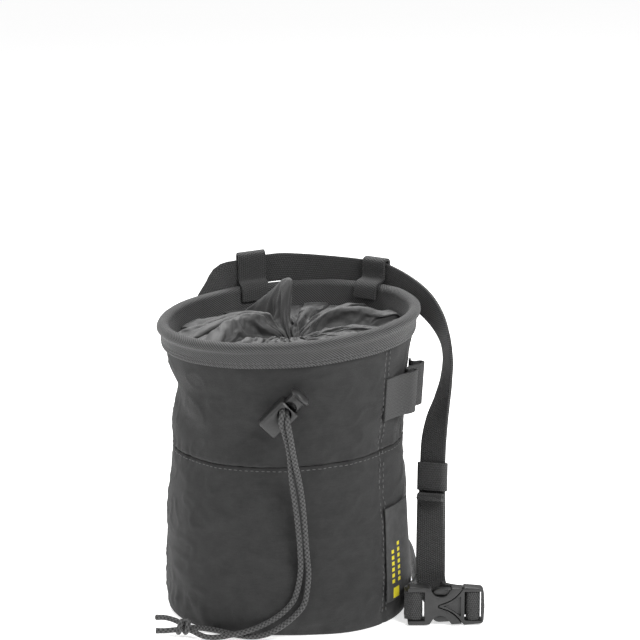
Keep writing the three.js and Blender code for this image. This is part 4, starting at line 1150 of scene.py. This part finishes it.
# The stretch from loop to loop: turn, how far out, how far up
BELT_BEHIND = [
    (118, 2.8, -3.6),
    (113, 0.1, -1.9),
    (108, 0, -0.9),
    (103, 0, -0.3),
    (94, 0, 0.7),
    (86, 0, 0.5),
    (72, 0, 0),
    (58, 0, 0),
    (52, 0, 0),
    (47, 0, 0),
    (42, 0, 0),
]
BELT_SHOWN = [
    (0.972, 0.56, 1.033, 0.12, -0.12, 1),
    (1.106, 0.427, 0.998, 0.3, -0.42, 0.86),
    (1.205, 0.31, 0.949, 0.33, -0.75, 0.58),
    (1.258, 0.217, 0.896, 0.25, -0.93, 0.25),
    (1.276, 0.148, 0.835, 0.22, -0.97, 0.05),
    (1.262, 0.093, 0.77, 0.25, -0.97, 0),
    (1.226, 0.039, 0.701, 0.42, -0.91, 0),
    (1.186, -0.005, 0.637, 0.66, -0.75, 0),
    (1.16, -0.06, 0.57, 0.78, -0.63, 0),
    (1.15, -0.12, 0.5, 0.79, -0.61, 0),
    (1.143, -0.19, 0.378, 0.86, -0.51, 0),
    (1.138, -0.26, 0.245, 0.94, -0.34, 0),
    (1.134, -0.295, 0.165, 0.98, -0.2, 0),
]
BELT_RADIUS = RIM_RADIUS + RIM_ROLL + 2 * GAP + WEB_THICK / 2
BELT_TOP = RIM_HEIGHT + BELT_RISE + WEB_WIDTH / 2
BUCKLE_X = 0.96 * BODY_RADIUS
BUCKLE_Y = -0.6025 * BODY_RADIUS
BUCKLE_Z = BUCKLE_WIDTH / 2 + 0.2
BAR_DEPTH = 2
FEMALE_BAR = (2.4, 5.6)
MALE_BAR = (31.7, 35.0)
ROUND = WEB_THICK / 2 + 2 * GAP
LAYER = WEB_THICK + GAP
MALE_BACK = BUCKLE_Y + BUCKLE_DEPTH / 2 + 2 * LAYER
FEMALE_BACK = BUCKLE_Y + BAR_DEPTH / 2 + ROUND
TAB_OUT = 2 * GAP + TAB_LIFT + TAB_THICK
UP = vec(0, 0, 1)
DOWN = vec(0, 0, -1)


def share_place(x, y, z):
    return vec(x * RIM_RADIUS, y * RIM_RADIUS, z * RIM_HEIGHT)


def turned(turn, r, z):
    a = math.radians(turn)
    return vec(r * math.cos(a), r * math.sin(a), z)


def strap_frames(stations, step):
    path, lean = Line([s[0] for s in stations]), Line([s[1] for s in stations])
    count = round(path.length / step)
    frames = []
    for i in range(count + 1):
        t = path.share(i / count)
        along, across = path.along(t), lean.at(t)
        across = (across - along * across.dot(along)).normalized()
        frames.append((path.at(t), across, along.cross(across)))
    return frames


def flat_frames(points, across):
    frames = []
    for i, at in enumerate(points):
        along = (points[min(i + 1, len(points) - 1)] - points[max(i - 1, 0)]).normalized()
        frames.append((at, across, along.cross(across)))
    return frames


def round_bar(bar, start, end, steps):
    middle = sum(bar) / 2
    rx, ry = (bar[1] - bar[0]) / 2 + ROUND, BAR_DEPTH / 2 + ROUND
    points = []
    for i in range(steps + 1):
        a = math.radians(start + (end - start) * i / steps)
        c, s = math.cos(a), math.sin(a)
        x = rx * math.copysign(abs(c) ** 0.8, c)
        y = ry * math.copysign(abs(s) ** 0.8, s)
        points.append(vec(BUCKLE_X + middle + x, BUCKLE_Y + y, BUCKLE_Z))
    return points


def belt_main():
    foot_radius = BODY_RADIUS + TAB_OUT + 2 * GAP + WEB_THICK / 2
    foot = [
        (vec(BUCKLE_X + FEMALE_BAR[0] - 0.5, FEMALE_BACK + 0.5, BUCKLE_Z), DOWN),
        (vec(BUCKLE_X - 0.6, FEMALE_BACK + 3.6, BUCKLE_Z), DOWN),
        (turned(-25, foot_radius, BUCKLE_Z - 1), DOWN),
        (turned(-10, foot_radius, 0.055 * RIM_HEIGHT), DOWN),
        (turned(4, foot_radius, 0.053 * RIM_HEIGHT), DOWN),
    ]
    behind = [
        (turned(turn, BELT_RADIUS + out, RIM_HEIGHT + BELT_RISE + rise), UP)
        for turn, out, rise in BELT_BEHIND
    ]
    reach = BUCKLE_X + MALE_BAR[0]
    curl = [
        (share_place(1.137, -0.3, 0.108), vec(0.94, 0, 0.34)),
        (share_place(1.165, -0.335, 0.074), vec(0.66, 0, 0.75)),
        (vec(reach - 13.5, MALE_BACK + 7.4, BUCKLE_Z - 0.6), vec(0.25, 0, 0.97)),
        (vec(reach - 7.5, MALE_BACK + 2.6, BUCKLE_Z - 0.2), UP),
        (vec(reach - 1, MALE_BACK + 0.1, BUCKLE_Z), UP),
        (vec(reach + 4, MALE_BACK - 0.6, BUCKLE_Z), UP),
    ]

    def stations(table):
        return [(share_place(*row[:3]), Vector(row[3:]).normalized()) for row in table]

    chain = foot + stations(BELT_HIDDEN) + behind + stations(BELT_SHOWN) + curl
    return strap_frames(chain, 2.0)


BELT_MAIN = belt_main()


def hanging_frames():
    last = max(i for i, (at, _, _) in enumerate(BELT_MAIN) if at.z > RIM_HEIGHT)
    return BELT_MAIN[last:]


HANGING = hanging_frames()


def belt_at(height):
    i = next(i for i, (at, _, _) in enumerate(HANGING) if at.z < height)
    high, low = HANGING[i - 1], HANGING[i]
    t = (high[0].z - height) / (high[0].z - low[0].z)
    at, across, face = [a.lerp(b, t) for a, b in zip(high, low)]
    return at, across.normalized(), face.normalized()


TAIL_TOP = KEEPER_HEIGHT - KEEPER_LENGTH / 2 - STOP_ROLL - 2 * GAP


def tail_frames():
    doubled = [belt_at(TAIL_TOP)] + [f for f in HANGING if f[0].z < TAIL_TOP - 0.5]
    return [(at + face * LAYER, across, -face) for at, across, face in reversed(doubled)]


def belt():
    start = vec(BUCKLE_X - 1.4, BUCKLE_Y + 0.2, BUCKLE_Z)
    female = flat_frames([start] + round_bar(FEMALE_BAR, -140, 84, 20), DOWN)
    male = flat_frames(round_bar(MALE_BAR, 66, -240, 30), UP)
    frames = female + BELT_MAIN + male + tail_frames()
    bm = strap(frames, WEB_WIDTH - 0.1, 8)
    made = finished("waist_belt_finish", bm, WEBBING, ("waist_belt",))
    thicken(made, WEB_THICK, 0, 0.35)


def belt_loop(name, turn):
    a = math.radians(turn)
    half = WEB_THICK / 2
    sag = WEB_WIDTH**2 / (8 * RIM_RADIUS)
    lift = RIM_TILT * RIM_RADIUS * math.cos(a)
    leg = wall_radius(RIM_HEIGHT - RIM_BAND / 2) - CLOTH - BINDING
    inner = BELT_RADIUS - half - 1.6 * GAP - half - sag
    outer = BELT_RADIUS + half + 1.6 * GAP + half

    def over_roll(angle):
        reach = RIM_ROLL + 1.5 * GAP + half
        r = RIM_RADIUS - sag + reach * math.cos(math.radians(angle))
        return (r, RIM_HEIGHT + 0.3 + reach * math.sin(math.radians(angle)) + lift)

    def drape(z, out):
        p = on_wall(turn, z, out)
        return (math.hypot(p.x, p.y), z + RIM_TILT * p.x * z / RIM_HEIGHT)

    band = BINDING + 2 * GAP + half
    crest = over_roll(88)[1]
    rows = [
        (leg - 2.5 * GAP - half - sag, RIM_HEIGHT - RIM_BAND / 2 + 0.5 + lift),
        over_roll(180),
        over_roll(150),
        over_roll(120),
        over_roll(88),
        (inner - 0.6, crest + 0.8),
        (inner, crest + 3),
        (inner, BELT_TOP - 1),
        (inner + 0.2, BELT_TOP + GAP + half),
        (BELT_RADIUS, BELT_TOP + 3 * GAP + half + 0.3),
        (outer - 0.2, BELT_TOP + GAP + half),
        (outer, BELT_TOP - 1.5),
        (outer, BELT_TOP - WEB_WIDTH - 0.5),
        (RIM_RADIUS + RIM_ROLL + GAP + half + 0.6, RIM_HEIGHT - 2.5 + min(lift, 0)),
        drape(RIM_HEIGHT - RIM_BAND * 0.75, band + 0.2),
        drape(RIM_HEIGHT - RIM_BAND - 1.5, band - 0.2),
        drape(RIM_HEIGHT - RIM_BAND - 7, GAP + half),
        drape(RIM_HEIGHT - RIM_BAND - 14, GAP + half),
    ]
    across = vec(-math.sin(a), math.cos(a), -RIM_TILT * math.sin(a)).normalized()
    line = Line([vec(r, 0, z) for r, z in rows]).spaced(0.9)
    frames = []
    for i, p in enumerate(line):
        along = line[min(i + 1, len(line) - 1)] - line[max(i - 1, 0)]
        length = math.hypot(along.x, along.z)
        out = along.z / length
        face = vec(out * math.cos(a), out * math.sin(a), -along.x / length)
        frames.append((vec(p.x * math.cos(a), p.x * math.sin(a), p.z), across, face))
    made = finished(name + "_finish", strap(frames, WEB_WIDTH, 8), WEBBING, (name,))
    thicken(made, WEB_THICK, 0, 0.35)


def keeper():
    at, across, face = belt_at(KEEPER_HEIGHT)
    down = face.cross(across)
    w = WEB_WIDTH / 2 + 1.5 * GAP + KEEPER_WALL / 2
    t = WEB_THICK / 2 + KEEPER_ROOM + KEEPER_WALL / 2
    corners = []
    for sx, sy in ((1, 1), (-1, 1), (-1, -1), (1, -1)):
        start = {(1, 1): 0, (-1, 1): 90, (-1, -1): 180, (1, -1): 270}[(sx, sy)]
        for step in range(0, 91, 18):
            a = math.radians(start + step)
            corners.append((sx * (w - t) + t * math.cos(a), t * math.sin(a)))
        middle = {0: (0, t + 0.15), 180: (0, -t - 0.15)}.get(start)
        if middle:
            corners.append(middle)
    corners.append(corners[0])
    run = [0.0]
    for a, b in zip(corners, corners[1:]):
        run.append(run[-1] + math.dist(a, b))
    rows = 14

    def place(i, j):
        x, y = corners[i]
        shift = (j / rows - 0.5) * KEEPER_LENGTH
        return at + across * x + face * y + down * shift

    def cloth(i, j):
        return (run[i], j / rows * KEEPER_LENGTH)

    bm = sheet(len(corners) - 1, rows, place, cloth, ring=True)
    bmesh.ops.recalc_face_normals(bm, faces=bm.faces)
    made = finished("belt_keeper_finish", bm, WEBBING, ("belt_keeper",))
    thicken(made, KEEPER_WALL, 0, 0.3)


def tail_stop():
    at, across, face = tail_frames()[-1]
    up = face.cross(across).normalized()
    centre = at - face * (STOP_ROLL + WEB_THICK / 2 + GAP)
    centre = centre + up * (math.copysign(0.2 * STOP_ROLL, up.z)) + across * 1.8
    turns = 26

    def place(i, j):
        a = math.radians(-60 + 600 * i / turns)
        r = (STOP_ROLL - 0.55) * (0.45 + 0.55 * i / turns)
        side = (j / 8 - 0.5) * (WEB_WIDTH - 0.6)
        return centre + across * side + face * (r * math.cos(a)) + up * (r * math.sin(a))

    def cloth(i, j):
        return (i * 0.9, j / 8 * WEB_WIDTH)

    bm = sheet(turns, 8, place, cloth)
    made = finished("belt_tail_stop_finish", bm, WEBBING, ("belt_tail_stop",))
    thicken(made, 1.0, 0, 0.25)


belt()
belt_loop("belt_loop_left", 107)
belt_loop("belt_loop_right", 47.5)
keeper()
tail_stop()


# The brush loop: turn from the side seam, and how far it stands off as a share
BRUSH = [
    (-0.6, 0.0145),
    (7, 0.026),
    (12, 0.06),
    (16, 0.108),
    (19, 0.118),
    (20.5, 0.09),
    (19, 0.05),
    (20.5, 0.026),
    (23, 0.028),
    (26, 0.06),
    (29, 0.115),
    (32, 0.13),
    (33.8, 0.105),
    (33, 0.055),
    (34.5, 0.024),
    (39, 0.018),
]


def brush_loop():
    def edge(height):
        return Line([on_wall(SIDE_SEAM + t, height, off * BODY_RADIUS) for t, off in BRUSH])

    high, low = edge(BRUSH_HEIGHT + BRUSH_WIDTH / 2), edge(BRUSH_HEIGHT - BRUSH_WIDTH / 2)
    count = 90
    frames = []
    tops = [high.at(i / count) for i in range(count + 1)]
    feet = [low.at(i / count) for i in range(count + 1)]
    middles = [(a + b) / 2 for a, b in zip(tops, feet)]
    for i, at in enumerate(middles):
        across = (tops[i] - feet[i]).normalized()
        along = middles[min(i + 1, count)] - middles[max(i - 1, 0)]
        along = (along - across * along.dot(across)).normalized()
        frames.append((at, across, along.cross(across)))
    bm = strap(frames, BRUSH_WIDTH, 10)
    made = finished("brush_loop_finish", bm, BRUSH_WEB, ("brush_loop",))
    thicken(made, BRUSH_THICK, 0, 0.3)


def side_tab():
    columns, rows = 24, 40

    def place(i, j):
        u, v = i / columns, 1 - j / rows
        turn = SIDE_SEAM + u * TAB_SPAN * (1 + 0.1 * v)
        z = TAB_HEIGHT + TAB_LENGTH * (0.5 - v)
        lift = 2 * GAP + TAB_LIFT * u * u * (0.3 + 0.7 * v)
        ripple = 0.25 * u * math.sin(7 * v + 2)
        return on_wall(turn, z, lift + TAB_THICK / 2 + ripple)

    def cloth(i, j):
        return (i / columns * TAB_SPAN * 1.1, j / rows * TAB_LENGTH)

    bm = sheet(columns, rows, place, cloth)
    made = finished("side_tab_finish", bm, TAB_CLOTH, ("side_tab",))
    thicken(made, TAB_THICK, 0, 0.2)


brush_loop()
side_tab()


# Hard pieces


def hard_pieces():
    softened("buckle_female", 0.45, PLASTIC)
    softened("buckle_male", 0.4, PLASTIC)
    softened("lock_barrel", 0.3, PLASTIC)
    softened("lock_plunger", 0.25, PLASTIC, "plunger")
    softened("cord_eyelet", 0.15, PLASTIC)


hard_pieces()


# Stitches
LAID = Matrix.Rotation(math.pi / 2, 4, "Y")


def stitch(bm, at, along, out, length, thick):
    side = out.cross(along).normalized()
    turn = Matrix((along, side, out)).transposed().to_4x4()
    size = Matrix.Diagonal((length / 2 * MM, thick / 2 * MM, thick / 2 * MM, 1))
    place = Matrix.Translation(at * MM) @ turn @ size
    bmesh.ops.create_uvsphere(bm, u_segments=6, v_segments=5, radius=1, matrix=place @ LAID)


def stitch_row(bm, points, outs, pitch, length, thick):
    """Stitches along points, each a pitch from the last; outs are the cloth's normals."""
    run = 0.0
    goal = pitch / 2
    for i in range(1, len(points)):
        a, b = points[i - 1], points[i]
        step = (b - a).length
        while goal <= run + step and step > 0:
            t = (goal - run) / step
            out = outs[i - 1].lerp(outs[i], t)
            along = (b - a).normalized()
            out = (out - along * out.dot(along)).normalized()
            stitch(bm, a.lerp(b, t), along, out, length, thick)
            goal += pitch
        run += step


def stitches():
    bm = bmesh.new()
    bm.loops.layers.uv.new(CLOTH_MAP)

    def ring(radius_at, count=400):
        turns = [90 + 360 * i / count for i in range(count + 1)]
        points = [radius_at(turn) for turn in turns]
        outs = [turned(turn, 1, 0) for turn in turns]
        return points, outs

    for drop in (8.6, 7.0):
        r = wall_radius(RIM_HEIGHT - drop) + BINDING + GAP + 0.05
        stitch_row(bm, *ring(lambda turn: rim_point(turn, r, -drop)), 2.9, 2.0, 0.6)
    z = SEAM_HEIGHT - 1.9
    stitch_row(bm, *ring(lambda turn: on_wall(turn, z, crumple(turn, z))), 2.9, 2.0, 0.5)
    for shift in (-1.5, 1.5):
        turn = SIDE_SEAM + shift
        heights = spread(6, RIM_HEIGHT - RIM_BAND - 1, 1)
        points = [on_wall(turn, z, crumple(turn, z)) for z in heights]
        stitch_row(bm, points, [turned(turn, 1, 0)] * len(points), 3.0, 2.1, 0.6)
    finished("seam_stitches", bm, THREAD)


stitches()


# The floor


FLOOR_GLOW = 0.62
FLOOR_HALF = 3
FLOOR_DROP = 0.3  # mm below the base, so that the two faces don't meet


def floor():
    paint = Paint("studio floor", "pack_cloth")
    paint.surface(Base_Color=(0.9, 0.9, 0.9, 1), Roughness=0.7)
    paint.surface(Emission_Color=(1, 1, 1, 1), Emission_Strength=FLOOR_GLOW)
    bm = bmesh.new()
    bmesh.ops.create_grid(bm, x_segments=2, y_segments=2, size=FLOOR_HALF)
    bmesh.ops.translate(bm, verts=bm.verts, vec=vec(0, 0, -FLOOR_DROP) * MM)
    mesh = bpy.data.meshes.new("floor")
    bm.to_mesh(mesh)
    bm.free()
    ground = bpy.data.objects.new("floor", mesh)
    mesh.materials.append(paint.material)
    bpy.context.scene.collection.objects.link(ground)


floor()
